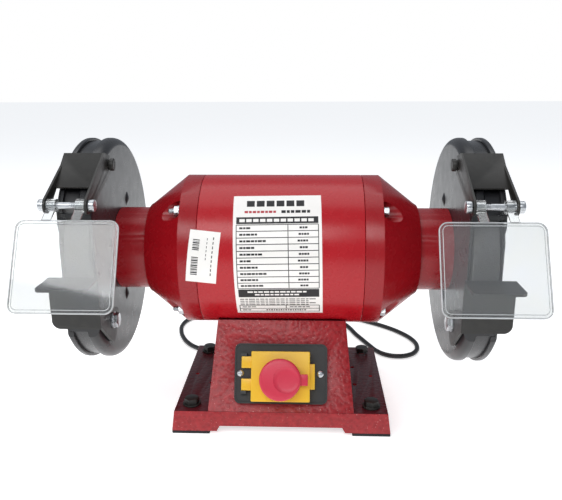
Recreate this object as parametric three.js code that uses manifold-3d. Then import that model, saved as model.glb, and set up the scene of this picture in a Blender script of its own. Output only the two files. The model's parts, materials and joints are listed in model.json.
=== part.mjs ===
// Double-ended bench grinder with an enclosed motor, two guarded wheels and a pedestal base.
// Millimetres. X runs along the spindle, Y away from the operator, Z up, and the bench is at Z = 0.
// Pieces are drawn with Y = 0 on the spindle axis; the outer group then centres the footprint.

import * as THREE from 'three';
import { mergeVertices } from 'three/addons/utils/BufferGeometryUtils.js';
import Module from 'manifold-3d';

const wasm = await Module();
wasm.setup();

// ---------------------------------------------------------------- driving dimensions

const gap = 0.3; // left between pieces that touch
const past = 2; // how far a cutting tool runs past the face it starts from
const into = 1; // how far a joined shape runs into the one it is joined to
const roundSides = 32; // sides of a large turned piece
const middleSides = 20; // sides of a bearing, flange or washer
const smallSides = 12; // sides of a bolt, button or knob
const hexSides = 6;

// motor
const motorUnderside = 94.4; // above the bench
const motorRadius = 77.6;
const shellHalfLength = 81;
const shellWall = 2.4;
const bellSkirt = 18; // straight part of an end bell
const bellCone = 37; // length of its taper
const bellConeRadius = 48.5;
const bellShoulder = { length: 2.4, fall: 1.5 }; // rounds the taper over towards the collar
const bellLip = { length: 3.2, fall: 3.9 }; // the lip beyond the shoulder
const bellWall = 5;
const collarRadius = 43;
const collarLength = 35.4;
const collarWall = 6;
const shaftRoom = 2; // round the shaft where it passes through a bell
const stackHalfLength = 35;
const slotDepth = 19.6; // from the shell's outside to the open side of the winding slots
const statorDepth = 31.6; // from the shell's outside to the stator's bore
const endTurnLength = 17;
const endTurnDepth = 11.6; // from the shell's outside to the end turns
const airGap = 1;

// through bolts that clamp the end bells to the shell
const boltInset = 5.6; // from the shell's outside to the bolt circle
const boltCount = 4;
const throughBoltRadius = 2.5;
const throughNutAcross = 10;
const throughNutHeight = 5;
const throughBoltTail = 6;
const pocketRadius = 10;
const pocketWall = 2.5;
const pocketFloor = 5; // left under the heads of the through bolts

// spindle
const shaftRadius = 10;
const spindleRadius = 7.94;
const bearingRadius = 23.5;
const bearingWidth = 14;
const bearingInset = 13; // from the end of the straight skirt
const bearingSeatWall = 6;
const bellWeb = 4; // length of the web that carries the bearing's seat
const spindleProud = 0.6; // past the wheel nut

// grinding wheels and what clamps them
const wheelRadius = 100;
const wheelWidth = 24;
const wheelFlangeRadius = 30;
const wheelFlangeWidth = 4.1;
const flangeRoom = 0.2; // from the guard's inner plane to the inner flange
const wheelNutAcross = 24;
const wheelNutWidth = 8;

// guards
const guardRoom = 16; // from the wheel to the outside of its guard
const guardSheet = 2.3;
const guardStep = 3;
const guardEdge = 8.5;
const guardHoleRadius = 34;
const coverRoom = 1.8; // between the wheel and the cover
const coverRim = 5.7;
const coverSheet = 2;
const coverDomeRadius = 34;
const coverDomeRoom = 1.6; // between the spindle's end and the dome
const wheelProud = 3; // of the wheel past the plane that opens the guard's front
const dimplePlaces = [[24.5, 48], [0, -52]]; // pressed towards the motor, round the collar
const dimpleRadius = 8;
const dimpleDepth = 2.4;

// spark deflector and shield rod
const deflectorAngle = THREE.MathUtils.degToRad(52.6);
const deflectorLift = 1.2;
const deflectorSheet = 2;
const deflectorHalfLength = 22;
const deflectorOverhang = 1.3;
const earOffset = 1.2;
const rodStandoff = 6.7; // from the guard, along the deflector's normal
const rodReach = 47.2; // down the slope from the deflector's middle
const rodRadius = 3;
const rodBoss = 8;
const rodKnobRadius = 5.5;
const rodKnobLength = 5.6;
const deflectorBoltInset = 15;
const deflectorBoltReach = -24.3;
const deflectorLug = 9; // radius of the sheet round the bolt
const deflectorBoltRadius = 2.5;
const deflectorBoltHead = 6;
const deflectorBoltHeadHeight = 5;
const deflectorTravel = [-3, 8];
const windowInset = 3.6; // from the deflector's sheet to the window in its outer ear

// eye shield
const shieldWidth = 91;
const shieldHeight = 81.7;
const shieldSheet = 2;
const shieldCorner = 8;
const shieldInset = 6; // of its middle from the bracket's, towards the motor
const shieldTopForward = 18; // top edge of the panel, in front of the rod
const shieldTopDrop = 9.3; // and below it
const shieldTilt = THREE.MathUtils.degToRad(28.1);
const barrelRadius = 6;
const barrelLength = 8;
const tongueSheet = 2;
const barrelRoom = 0.5; // from a barrel to the bracket's ear

// tool rest
const restDrop = 1.5; // from the spindle axis to the table
const restGap = 3; // from the wheel to the rest
const restDepth = 36;
const restSheet = 2.5;
const restOverhang = 11;
const restLegHeight = 50.5;
const restCorner = 8;
const restTableCorner = 5;
const restBoltY = -68;
const restBoltDrop = 57;
const restBoltRadius = 4;
const restBoltAcross = 13;
const restBoltHead = 6;
const restArmRadius = 9;
const restArmHang = 14; // how far the arm reaches down past its bolt
const restTravel = [-1, 12];

// pedestal base
const padHeight = 3.2;
const baseTop = 25.2;
const baseFront = -87.2;
const baseRear = 75.3;
const baseHalfTop = 107.3;
const baseFlare = 3; // each side, from the top to the foot
const baseWall = 5;
const columnRise = 14.6; // of the column's edge past the motor's underside
const columnTopDepth = 49.5;
const columnHalfTop = 65.2;
const columnHalfFoot = 73.3;
const columnWall = 4.5;
const archTop = 9;
const archTaper = 4.8;
const archRoom = 5.5; // from the arch to the pads
const saddleWall = 6;
const wireHole = 8;
const padWidth = 38.3;
const padLength = 38;
const footInset = 15.6;
const footBoltRadius = 4;
const footBoltAcross = 13;
const footBoltHead = 5.5;
const footWasherRadius = 9.2;
const footWasherHeight = 1.6;
const footHoleRadius = 4.4;
const flangeEdgeHole = { inset: 10.3, y: -3, radius: 2 }; // from the flange's edge
const flangeRootHoles = [19, -24].map((y) => ({ inset: 4.7, y, radius: 2.4 })); // from the column
const bottomCoverSheet = 1.5;
const bottomCoverInset = 21.3;
const capacitorRadius = 17;
const capacitorLength = 70;
const capacitorY = 25;
const terminalLength = 8;
const terminalRadius = 3;

// switch on the sloping front wall
const switchDrop = 34.1; // from the motor's underside to the plate's middle
const plateWidth = 93;
const plateHeight = 59.5;
const plateSheet = 3.5;
const plateCorner = 6;
const switchWidth = 52;
const switchDepth = 42;
const switchTall = 38;
const switchFace = 5;
const switchFit = 0.6;
const keyWidth = 14.4;
const keyHeight = 16.4;
const keyTop = 7;
const keyDepth = 7.5;
const keySpacing = 11;
const keyTravel = 3;
const flapWidth = 58;
const flapHeight = 49;
const flapDrop = 2.5;
const flapBase = 4.2;
const flapFace = 16;
const flapWall = 2;
const flapEarSheet = 4.4;
const flapEarHeight = 11.5;
const flapEarSpacing = 11;
const hingeX = -37;
const hingeHeight = 7.2; // of the flap's hinge line above the pedestal face
const hingePinRadius = 1.2;
const hingeLug = 3;
const flapTabReach = 5;
const flapTabHeight = 25;
const flapTabDepth = 6;
const mushroomRadius = 20.4;
const mushroomBase = 19.5;
const mushroomTop = 28.5;
const mushroomDrop = 2.8;
const mushroomStem = 3; // small enough to follow the key into its well
const stemFit = 0.5;
const mushroomTongue = { reach: 27, halfWidth: 5.5, height: 4 };
const mushroomEdge = 2.5; // chamfer round the cap
const plateScrews = [-40.5, 39.5];
const plateScrewRadius = 3.3;
const plateScrewShank = 1.6;

// mains cord
const cordRadius = 3;
const cordSides = 8;
const cordStep = 14; // length of one straight piece of the tube
const glandX = 0;
const glandHeight = 15;
const glandNeck = 4.7;
const glandCollar = 7.5;
const glandLength = 33;
const glandTip = 4.2;
const glandFlange = { width: 5, bevel: 1.5 };
const coilCentre = [30, 190];
const coilMeanRadius = 33;
const coilHalfWidth = 9;
const coilHeight = 12;
const plugHeight = 7;
const plugHalfWidth = 10.5;
const plugReliefRadius = 4;
const plugReliefLength = 16;
const plugReliefFlare = 1.6; // how much wider the relief is at the body
const plugBodyLength = 26;
const plugPinLength = 19;
const plugPinRadius = 2;
const plugPinSpacing = 6.5;
const plugPinRise = 2; // of the middle pin over the outer two

// ---------------------------------------------------------------- what follows from them

const spindleHeight = motorUnderside + motorRadius;
const columnTop = motorUnderside + columnRise;
const switchHeight = motorUnderside - switchDrop;
const restTop = spindleHeight - restDrop;
const lean = Math.atan((-baseFront - columnTopDepth) / (columnTop - baseTop));
const shellEnd = shellHalfLength - gap / 2;
const bellStart = shellHalfLength + gap / 2;
const bellSkirtEnd = shellHalfLength + bellSkirt;
const bellConeEnd = bellSkirtEnd + bellCone;
const collarEnd = bellConeEnd + collarLength;
const boltCircle = motorRadius - boltInset;
const slotRadius = motorRadius - slotDepth;
const statorBore = motorRadius - statorDepth;
const endTurnRadius = motorRadius - endTurnDepth;
const shaftHoleRadius = shaftRadius + shaftRoom;
const bearingStart = bellSkirtEnd + bearingInset;
const guardRadius = wheelRadius + guardRoom;
const guardMouth = wheelRadius - wheelProud;
const mouthHalfHeight = Math.sqrt(guardRadius ** 2 - guardMouth ** 2) + past;
const guardInner = collarEnd + gap;
const wheelStart = guardInner + flangeRoom + wheelFlangeWidth + gap;
const wheelEnd = wheelStart + wheelWidth;
const outerFlangeStart = wheelEnd + gap;
const outerFlangeEnd = outerFlangeStart + wheelFlangeWidth;
const nutStart = outerFlangeEnd + gap;
const spindleEnd = nutStart + wheelNutWidth + spindleProud;
const coverInner = wheelEnd + coverRoom;
const coverOuter = coverInner + coverSheet;
const domeTop = spindleEnd + coverDomeRoom + coverSheet;
const innerEar = guardInner - earOffset;
const outerEar = coverOuter + deflectorOverhang;
const restInner = guardInner - 1;
const restOuter = coverOuter + restOverhang;
const restBack = -(wheelRadius + restGap);
const [rodY, rodZ] = deflectorPoint(guardRadius + rodStandoff, rodReach);
const [deflectorBoltY, deflectorBoltZ] = deflectorPoint(guardRadius - deflectorBoltInset, deflectorBoltReach);
const shieldCentre = (innerEar + outerEar) / 2 - shieldInset;
const shieldTopY = rodY - shieldTopForward;
const shieldReach = -shieldTopY + shieldHeight * Math.sin(shieldTilt) + shieldSheet / 2;
const axisSetback = (shieldReach - guardRadius) / 2;
const baseHalfFoot = baseHalfTop + baseFlare;
const padInner = baseHalfFoot - padWidth;
const archHalfFoot = padInner - archRoom;
const archHalfTop = archHalfFoot - archTaper;
const footRows = [baseFront + footInset, baseRear - footInset];
const footColumn = baseHalfTop - footInset;
const switchY = baseFront + (switchHeight - baseTop) * Math.tan(lean);

const sides = [['left', -1], ['right', 1]];

// ---------------------------------------------------------------- finishes

const finish = (color, roughness, metalness) => ({ color, roughness, metalness });
const redEnamel = finish(0x9e0f18, 0.25, 0.1);
const hammeredRed = finish(0x962224, 0.5, 0.1);
const blackEnamel = finish(0x2e2e31, 0.3, 0.2);
const blackSteel = finish(0x1d1d1c, 0.45, 0.4);
const zinc = finish(0xb9bcc0, 0.35, 0.9);
const steel = finish(0x8f9296, 0.4, 0.9);
const copper = finish(0xa8602c, 0.45, 0.8);
const grit = finish(0x6d6d6b, 0.95, 0);
const clear = finish(0xe4e2d8, 0.08, 0);
const blackPlastic = finish(0x242424, 0.5, 0);
const yellowPlastic = finish(0xdcae20, 0.4, 0);
const redPlastic = finish(0xc02840, 0.4, 0);
const greenPlastic = finish(0x2e8b45, 0.4, 0);
const blackRubber = finish(0x18181a, 0.8, 0);
const greyCan = finish(0xc9c9c4, 0.5, 0);

// ---------------------------------------------------------------- helpers

// Welds a geometry's corners, drops collapsed triangles and turns its faces outward.
function weld(geometry) {
  const bare = geometry.clone();
  bare.deleteAttribute('normal');
  bare.deleteAttribute('uv');
  const merged = mergeVertices(bare, 1e-4);
  const corners = merged.attributes.position.array;
  const faces = [];
  let volume = 0;
  const [a, b, c] = [new THREE.Vector3(), new THREE.Vector3(), new THREE.Vector3()];
  for (let i = 0; i < merged.index.count; i += 3) {
    const face = [0, 1, 2].map((k) => merged.index.getX(i + k));
    if (new Set(face).size < 3) continue;
    [a, b, c].forEach((corner, k) => corner.fromArray(corners, face[k] * 3));
    volume += a.dot(b.cross(c));
    faces.push(face);
  }
  const outward = volume > 0 ? faces : faces.map((face) => face.reverse());
  return { corners, triangles: Uint32Array.from(outward.flat()) };
}

function solidOf(geometry) {
  const { corners, triangles } = weld(geometry);
  return new wasm.Manifold(new wasm.Mesh({ numProp: 3, vertProperties: corners, triVerts: triangles }));
}

function geometryOf(solid) {
  const mesh = solid.getMesh();
  const geometry = new THREE.BufferGeometry();
  geometry.setAttribute('position', new THREE.BufferAttribute(Float32Array.from(mesh.vertProperties), 3));
  geometry.setIndex(new THREE.BufferAttribute(Uint32Array.from(mesh.triVerts), 1));
  geometry.computeVertexNormals();
  return geometry;
}

const join = (first, ...others) => others.reduce((sum, other) => sum.add(other), first);
const cut = (first, ...tools) => tools.reduce((rest, tool) => rest.subtract(tool), first);

// A solid of revolution about the X axis, from [x, radius] points that close or end on the axis.
function turned(profile, count = roundSides) {
  const points = profile.map(([x, radius]) => new THREE.Vector2(radius, x));
  const openEnds = profile[0][1] > 0 || profile.at(-1)[1] > 0;
  if (openEnds) points.push(points[0].clone());
  const lathe = new THREE.LatheGeometry(points, count);
  lathe.rotateZ(-Math.PI / 2);
  return lathe;
}

// A round bar along X, with its middle line at (y, z).
function barX(x0, x1, radius, y, z, count = smallSides) {
  const bar = new THREE.CylinderGeometry(radius, radius, x1 - x0, count);
  bar.rotateZ(-Math.PI / 2);
  bar.translate((x0 + x1) / 2, y, z);
  return bar;
}

// A round bar along Z.
function barZ(z0, z1, radius, x, y, count = smallSides) {
  const bar = new THREE.CylinderGeometry(radius, radius, z1 - z0, count);
  bar.rotateX(Math.PI / 2);
  bar.translate(x, y, (z0 + z1) / 2);
  return bar;
}

function box(x0, x1, y0, y1, z0, z1) {
  const block = new THREE.BoxGeometry(x1 - x0, y1 - y0, z1 - z0);
  block.translate((x0 + x1) / 2, (y0 + y1) / 2, (z0 + z1) / 2);
  return block;
}

// A block whose lower and upper faces are different rectangles, each given as [x0, x1, y0, y1].
function tapered(z0, z1, low, high) {
  const block = new THREE.BoxGeometry(2, 2, 2);
  const place = block.attributes.position;
  for (let i = 0; i < place.count; i += 1) {
    const [x0, x1, y0, y1] = place.getZ(i) > 0 ? high : low;
    const x = place.getX(i) > 0 ? x1 : x0;
    const y = place.getY(i) > 0 ? y1 : y0;
    place.setXYZ(i, x, y, place.getZ(i) > 0 ? z1 : z0);
  }
  return block;
}

// The outline that a cord stretched round a set of [x, y, radius] circles would take.
function outlineRound(circles) {
  const steps = 12;
  const points = circles.flatMap(([x, y, radius]) =>
    Array.from({ length: steps }, (_, i) => {
      const angle = (i / steps) * 2 * Math.PI;
      return new THREE.Vector2(x + radius * Math.cos(angle), y + radius * Math.sin(angle));
    }));
  points.sort((p, q) => p.x - q.x || p.y - q.y);
  const turn = (o, p, q) => (p.x - o.x) * (q.y - o.y) - (p.y - o.y) * (q.x - o.x);
  const half = (list) => {
    const chain = [];
    for (const point of list) {
      while (chain.length > 1 && turn(chain.at(-2), chain.at(-1), point) <= 1e-6) chain.pop();
      chain.push(point);
    }
    return chain.slice(0, -1);
  };
  return new THREE.Shape([...half(points), ...half([...points].reverse())]);
}

function roundedRectangle(width, height, corner) {
  const [w, h] = [width / 2 - corner, height / 2 - corner];
  return outlineRound([[w, h, corner], [-w, h, corner], [-w, -h, corner], [w, -h, corner]]);
}

const extruded = (shape, depth) => new THREE.ExtrudeGeometry(shape, { depth, bevelEnabled: false });

// A flat plate whose outline is drawn in Y and Z and whose thickness runs from x0 to x1.
function plateX(shape, x0, x1) {
  const plate = extruded(shape, x1 - x0);
  const [right, back, up] = [[1, 0, 0], [0, 1, 0], [0, 0, 1]].map((v) => new THREE.Vector3(...v));
  plate.applyMatrix4(new THREE.Matrix4().makeBasis(back, up, right));
  plate.translate(x0, 0, 0);
  return plate;
}

function piece(name, solid, look) {
  const material = new THREE.MeshStandardMaterial(look);
  const mesh = new THREE.Mesh(geometryOf(solid), material);
  mesh.name = name;
  return mesh;
}

// Left-hand pieces are the right-hand ones reflected in the plane X = 0.
function handed(name, side, solid, look) {
  const geometry = geometryOf(solid);
  geometry.scale(side, 1, 1);
  return piece(name, solidOf(geometry), look);
}

// ---------------------------------------------------------------- motor

function boltPlaces() {
  return Array.from({ length: boltCount }, (_, i) => {
    const angle = ((i + 0.5) / boltCount) * 2 * Math.PI;
    return [boltCircle * Math.cos(angle), spindleHeight + boltCircle * Math.sin(angle)];
  });
}

const onAxis = (geometry) => solidOf(geometry.translate(0, 0, spindleHeight));

function motorShell() {
  const inner = motorRadius - shellWall;
  const tube = turned([[-shellEnd, inner], [-shellEnd, motorRadius], [shellEnd, motorRadius],
    [shellEnd, inner]]);
  const wires = barZ(spindleHeight - motorRadius - past, spindleHeight - inner + past, wireHole, 0, 0);
  return cut(onAxis(tube), solidOf(wires));
}

function bellOutline() {
  return [
    [bellStart, motorRadius], [bellSkirtEnd, motorRadius], [bellConeEnd, bellConeRadius],
    [bellConeEnd + bellShoulder.length, bellConeRadius - bellShoulder.fall],
    [bellConeEnd + bellLip.length, bellConeRadius - bellLip.fall],
    [bellConeEnd + bellLip.length, collarRadius], [collarEnd, collarRadius],
  ];
}

function endBell() {
  const skirtInner = motorRadius - bellWall;
  const seatEnd = bearingStart + bearingWidth + gap;
  const seatRadius = bearingRadius + gap / 2;
  const webStart = seatEnd - bellWeb;
  const slope = (motorRadius - bellConeRadius) / (bellConeEnd - bellSkirtEnd);
  const webRadius = motorRadius - (webStart - bellSkirtEnd) * slope - bellWall * 1.3;
  const thickRadius = boltCircle - pocketRadius - pocketWall;
  const thickStart = bellSkirtEnd - pocketFloor;
  const thickEnd = bellSkirtEnd + (motorRadius - bellWall - thickRadius) / slope;
  const collarInner = collarRadius - collarWall;
  const shell = onAxis(turned([
    ...bellOutline(), [collarEnd, shaftHoleRadius], [collarEnd - bellWall, shaftHoleRadius],
    [collarEnd - bellWall, collarInner], [seatEnd + bellWall + 2, collarInner],
    [seatEnd + bellWall, collarInner - 2], [seatEnd + bellWall, shaftHoleRadius],
    [seatEnd, shaftHoleRadius], [seatEnd, seatRadius], [bearingStart - 1, seatRadius],
    [bearingStart - 1, seatRadius + bearingSeatWall], [webStart, seatRadius + bearingSeatWall],
    [webStart, webRadius], [thickEnd, thickRadius], [thickStart, thickRadius], [thickStart, skirtInner],
    [bellStart, skirtInner],
  ]));
  const places = boltPlaces();
  const pockets = places.map(([y, z]) => solidOf(barX(bellSkirtEnd, bellConeEnd + past, pocketRadius, y, z)));
  const holes = places.map(([y, z]) =>
    solidOf(barX(bellStart - past, bellSkirtEnd + past, throughBoltRadius + gap, y, z)));
  return cut(shell, ...pockets, ...holes);
}

function throughBolt([y, z]) {
  const seat = bellSkirtEnd + gap;
  const nut = throughNutAcross / Math.sqrt(3);
  return join(
    solidOf(barX(-seat - throughNutHeight - throughBoltTail, seat + past, throughBoltRadius, y, z)),
    solidOf(barX(-seat - throughNutHeight, -seat, nut, y, z, hexSides)),
    solidOf(barX(seat, seat + throughNutHeight, nut, y, z, hexSides)));
}

function statorCore() {
  const outer = motorRadius - shellWall - gap;
  const ring = onAxis(turned([[-stackHalfLength, slotRadius], [-stackHalfLength, outer],
    [stackHalfLength, outer], [stackHalfLength, slotRadius]]));
  const grooves = boltPlaces().map(([y, z]) =>
    solidOf(barX(-stackHalfLength - past, stackHalfLength + past, throughBoltRadius + 2 * gap, y, z)));
  return cut(ring, ...grooves);
}

function statorWinding() {
  const inStack = slotRadius - gap;
  const start = stackHalfLength + gap;
  const end = start + endTurnLength;
  const half = [[start, inStack], [start, endTurnRadius], [end, endTurnRadius], [end, statorBore]];
  const other = half.map(([x, radius]) => [-x, radius]).reverse();
  return onAxis(turned([...other, ...half]));
}

function rotorCore() {
  const outer = statorBore - airGap;
  const bore = shaftRadius + gap;
  return onAxis(turned([[-stackHalfLength, bore], [-stackHalfLength, outer],
    [stackHalfLength, outer], [stackHalfLength, bore]]));
}

function shaft() {
  const half = [[collarEnd, shaftRadius], [collarEnd, spindleRadius], [spindleEnd, spindleRadius],
    [spindleEnd, 0]];
  const other = half.map(([x, radius]) => [-x, radius]).reverse();
  return onAxis(turned([...other, ...half], middleSides));
}

function bearing() {
  const end = bearingStart + bearingWidth;
  const bore = shaftRadius + gap / 2;
  return onAxis(turned([[bearingStart, bore], [bearingStart, bearingRadius],
    [end, bearingRadius], [end, bore]], middleSides));
}

// ---------------------------------------------------------------- wheels

function ring(x0, x1, bore, radius, count) {
  return onAxis(turned([[x0, bore], [x0, radius], [x1, radius], [x1, bore]], count));
}

const spindleBore = spindleRadius + gap;
const wheel = () => ring(wheelStart, wheelEnd, spindleBore, wheelRadius, roundSides);
const flange = (x0, x1) => ring(x0, x1, spindleBore, wheelFlangeRadius, middleSides);
const innerFlange = () => flange(guardInner + flangeRoom, wheelStart - gap);
const outerFlange = () => flange(outerFlangeStart, outerFlangeEnd);

function wheelNut() {
  const end = nutStart + wheelNutWidth;
  const hex = solidOf(barX(nutStart, end, wheelNutAcross / Math.sqrt(3), 0, spindleHeight, hexSides));
  const bore = solidOf(barX(nutStart - past, end + past, spindleBore, 0, spindleHeight, middleSides));
  return cut(hex, bore);
}

// ---------------------------------------------------------------- guards

function guardMouthTool() {
  return solidOf(box(innerEar, domeTop + past, -guardRadius - past, -guardMouth,
    spindleHeight - mouthHalfHeight, spindleHeight + mouthHalfHeight));
}

// Inner plate, rolled edge and drum wall, pressed from one sheet.
function guardPan() {
  const corner = Array.from({ length: 6 }, (_, i) => {
    const angle = (i / 5) * (Math.PI / 2);
    return [guardInner + guardEdge * (1 - Math.cos(angle)), guardRadius - guardEdge * (1 - Math.sin(angle))];
  });
  const drum = guardRadius - guardStep;
  const rimEnd = guardInner + guardEdge + 2.8;
  const pan = onAxis(turned([
    [guardInner, guardHoleRadius], ...corner, [rimEnd, guardRadius], [rimEnd + 1.5, drum],
    [coverInner - gap, drum], [coverInner - gap, drum - guardSheet],
    [guardInner + guardEdge, drum - guardSheet], [guardInner + guardSheet, drum - guardEdge],
    [guardInner + guardSheet, guardHoleRadius],
  ]));
  const dimples = dimplePlaces.map(([y, rise]) => solidOf(
    turned([[guardInner + 1, 0], [guardInner + 1, dimpleRadius], [guardInner, dimpleRadius],
      [guardInner - dimpleDepth, dimpleRadius / 3], [guardInner - dimpleDepth, 0]], smallSides)
      .translate(0, y, spindleHeight + rise)));
  return cut(join(pan, ...dimples), guardMouthTool());
}

// Outer disc with a shallow dome over the spindle nut and a rim that laps the drum wall.
function guardCover() {
  const rimInner = guardRadius - guardStep + gap;
  const disc = onAxis(turned([
    [domeTop, 0], [domeTop, coverDomeRadius], [coverOuter, coverDomeRadius + 10],
    [coverOuter, guardRadius - 1.5],
    [coverOuter - 1.2, guardRadius], [coverOuter - coverRim, guardRadius], [coverOuter - coverRim, rimInner],
    [coverInner, rimInner], [coverInner, coverDomeRadius + 11], [domeTop - coverSheet, coverDomeRadius + 1.2],
    [domeTop - coverSheet, 0],
  ]));
  return cut(disc, guardMouthTool());
}

// ---------------------------------------------------------------- spark deflector and eye shield

// A point on the deflector plate, by its distance from the spindle and how far down the plate it is.
function deflectorPoint(distance, along) {
  const [c, s] = [Math.cos(deflectorAngle), Math.sin(deflectorAngle)];
  return [-distance * c - along * s, spindleHeight + distance * s - along * c];
}

function deflector() {
  const inside = guardRadius + deflectorLift;
  const outside = inside + deflectorSheet;
  const ends = [-deflectorHalfLength, deflectorHalfLength];
  const strip = new THREE.Shape([
    ...ends.map((along) => new THREE.Vector2(...deflectorPoint(inside, along))),
    ...[...ends].reverse().map((along) => new THREE.Vector2(...deflectorPoint(outside, along))),
  ]);
  const middle = (inside + outside) / 2;
  const at = (along, radius) => [...deflectorPoint(middle, along), radius];
  const [edge, rod] = [deflectorSheet / 2, [rodY, rodZ, rodBoss]];
  const clamp = [deflectorBoltY, deflectorBoltZ, deflectorLug];
  const innerOutline = outlineRound([at(ends[0], edge), at(ends[1], edge), rod, clamp]);
  const outerOutline = outlineRound([at(-6, edge), at(ends[1], edge), rod]);
  const windowOutline = outlineRound([
    [...deflectorPoint(middle - windowInset, 4), 0.5],
    [...deflectorPoint(middle - windowInset, ends[1] - 6), 0.5],
    [rodY + 2 * rodBoss, rodZ + rodRadius, 0.5],
  ]);
  const slotEnd = (travel) => [
    clamp[0] + travel * Math.sin(deflectorAngle), clamp[1] + travel * Math.cos(deflectorAngle),
    deflectorBoltRadius + gap,
  ];
  const tools = [
    plateX(outlineRound(deflectorTravel.map(slotEnd)), innerEar - past - deflectorSheet, guardInner),
    plateX(windowOutline, outerEar - past, outerEar + deflectorSheet + past),
    barX(innerEar - 2 * past, outerEar + 2 * past, rodRadius + gap, rodY, rodZ),
  ];
  const body = join(
    solidOf(plateX(strip, innerEar - deflectorSheet, outerEar + deflectorSheet)),
    solidOf(plateX(innerOutline, innerEar - deflectorSheet, innerEar)),
    solidOf(plateX(outerOutline, outerEar, outerEar + deflectorSheet)));
  return cut(body, ...tools.map(solidOf));
}

function deflectorBolt() {
  const seat = innerEar - deflectorSheet - gap;
  const at = [deflectorBoltY, deflectorBoltZ];
  return join(
    solidOf(barX(seat - deflectorBoltHeadHeight, seat, deflectorBoltHead, ...at)),
    solidOf(barX(seat - into, guardInner - gap, deflectorBoltRadius, ...at)));
}

function shieldRod() {
  const [inner, outer] = [innerEar - deflectorSheet - gap, outerEar + deflectorSheet + gap];
  return join(
    solidOf(barX(inner - rodKnobLength, inner, rodKnobRadius, rodY, rodZ)),
    solidOf(barX(inner - into, outer + into, rodRadius, rodY, rodZ)),
    solidOf(barX(outer, outer + rodKnobLength, rodKnobRadius, rodY, rodZ)));
}

function eyeShield() {
  const panel = extruded(roundedRectangle(shieldWidth, shieldHeight, shieldCorner), shieldSheet);
  panel.translate(0, -shieldHeight / 2, -shieldSheet / 2);
  panel.rotateX(Math.PI / 2 - shieldTilt);
  panel.translate(shieldCentre, shieldTopY, rodZ - shieldTopDrop);
  const reach = Math.hypot(shieldTopForward, shieldTopDrop);
  const tongueAngle = Math.atan2(shieldTopDrop, shieldTopForward);
  const starts = [innerEar + barrelRoom, outerEar - barrelRoom - barrelLength];
  const hinges = starts.flatMap((x) => {
    const tongue = box(x, x + barrelLength, -reach - 1, -rodRadius - 1.5, -tongueSheet / 2, tongueSheet / 2);
    tongue.rotateX(tongueAngle);
    tongue.translate(0, rodY, rodZ);
    return [solidOf(barX(x, x + barrelLength, barrelRadius, rodY, rodZ)), solidOf(tongue)];
  });
  const bore = solidOf(barX(innerEar, outerEar, rodRadius + gap, rodY, rodZ));
  return cut(join(solidOf(panel), ...hinges), bore);
}

// ---------------------------------------------------------------- tool rest

function toolRest() {
  const width = restOuter - restInner + restSheet;
  const middle = (restOuter + restInner - restSheet) / 2;
  const reach = restDepth + restCorner;
  const table = extruded(roundedRectangle(width, reach, restTableCorner), restSheet);
  table.translate(middle, restBack - reach / 2 + restCorner, restTop - restSheet);
  const tableTrim = box(restInner - 2 * restSheet, restOuter + past, restBack, restBack + 2 * restCorner,
    restTop - restSheet - past, restTop + past);
  const low = restTop - restLegHeight;
  const [x0, x1] = [restInner - restSheet, restOuter];
  const legOutline = outlineRound([
    [x0 + 1, restTop - 1, 1], [x1 - 1, restTop - 1, 1], [x0 + 1, low + 1, 1],
    [x1 - restCorner, low + restCorner, restCorner],
  ]);
  const leg = extruded(legOutline, restSheet);
  leg.rotateX(Math.PI / 2);
  leg.translate(0, restBack, 0);
  const boltZ = spindleHeight - restBoltDrop;
  const slot = restTravel.map((travel) => [restBoltY + travel, boltZ, restBoltRadius + gap]);
  const arm = outlineRound([
    [restBack - 1, restTop - 30, 1], [restBack - 1, low + 2, 1],
    [restBoltY + restTravel[1], boltZ, restArmRadius], [restBoltY, boltZ - restArmHang, restArmRadius],
  ]);
  return cut(
    join(cut(solidOf(table), solidOf(tableTrim)), solidOf(leg), solidOf(plateX(arm, x0, restInner))),
    solidOf(plateX(outlineRound(slot), x0 - past, restInner + past)));
}

function restBolt() {
  const seat = restInner - restSheet - gap;
  const z = spindleHeight - restBoltDrop;
  return join(
    solidOf(barX(seat - restBoltHead, seat, restBoltAcross / Math.sqrt(3), restBoltY, z, hexSides)),
    solidOf(barX(seat - into, guardInner - gap, restBoltRadius, restBoltY, z)));
}

// ---------------------------------------------------------------- pedestal base

function switchFrame() {
  const frame = new THREE.Group();
  frame.position.set(0, switchY, switchHeight);
  frame.rotation.x = Math.PI / 2 - lean;
  frame.updateMatrix();
  return frame;
}

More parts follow.
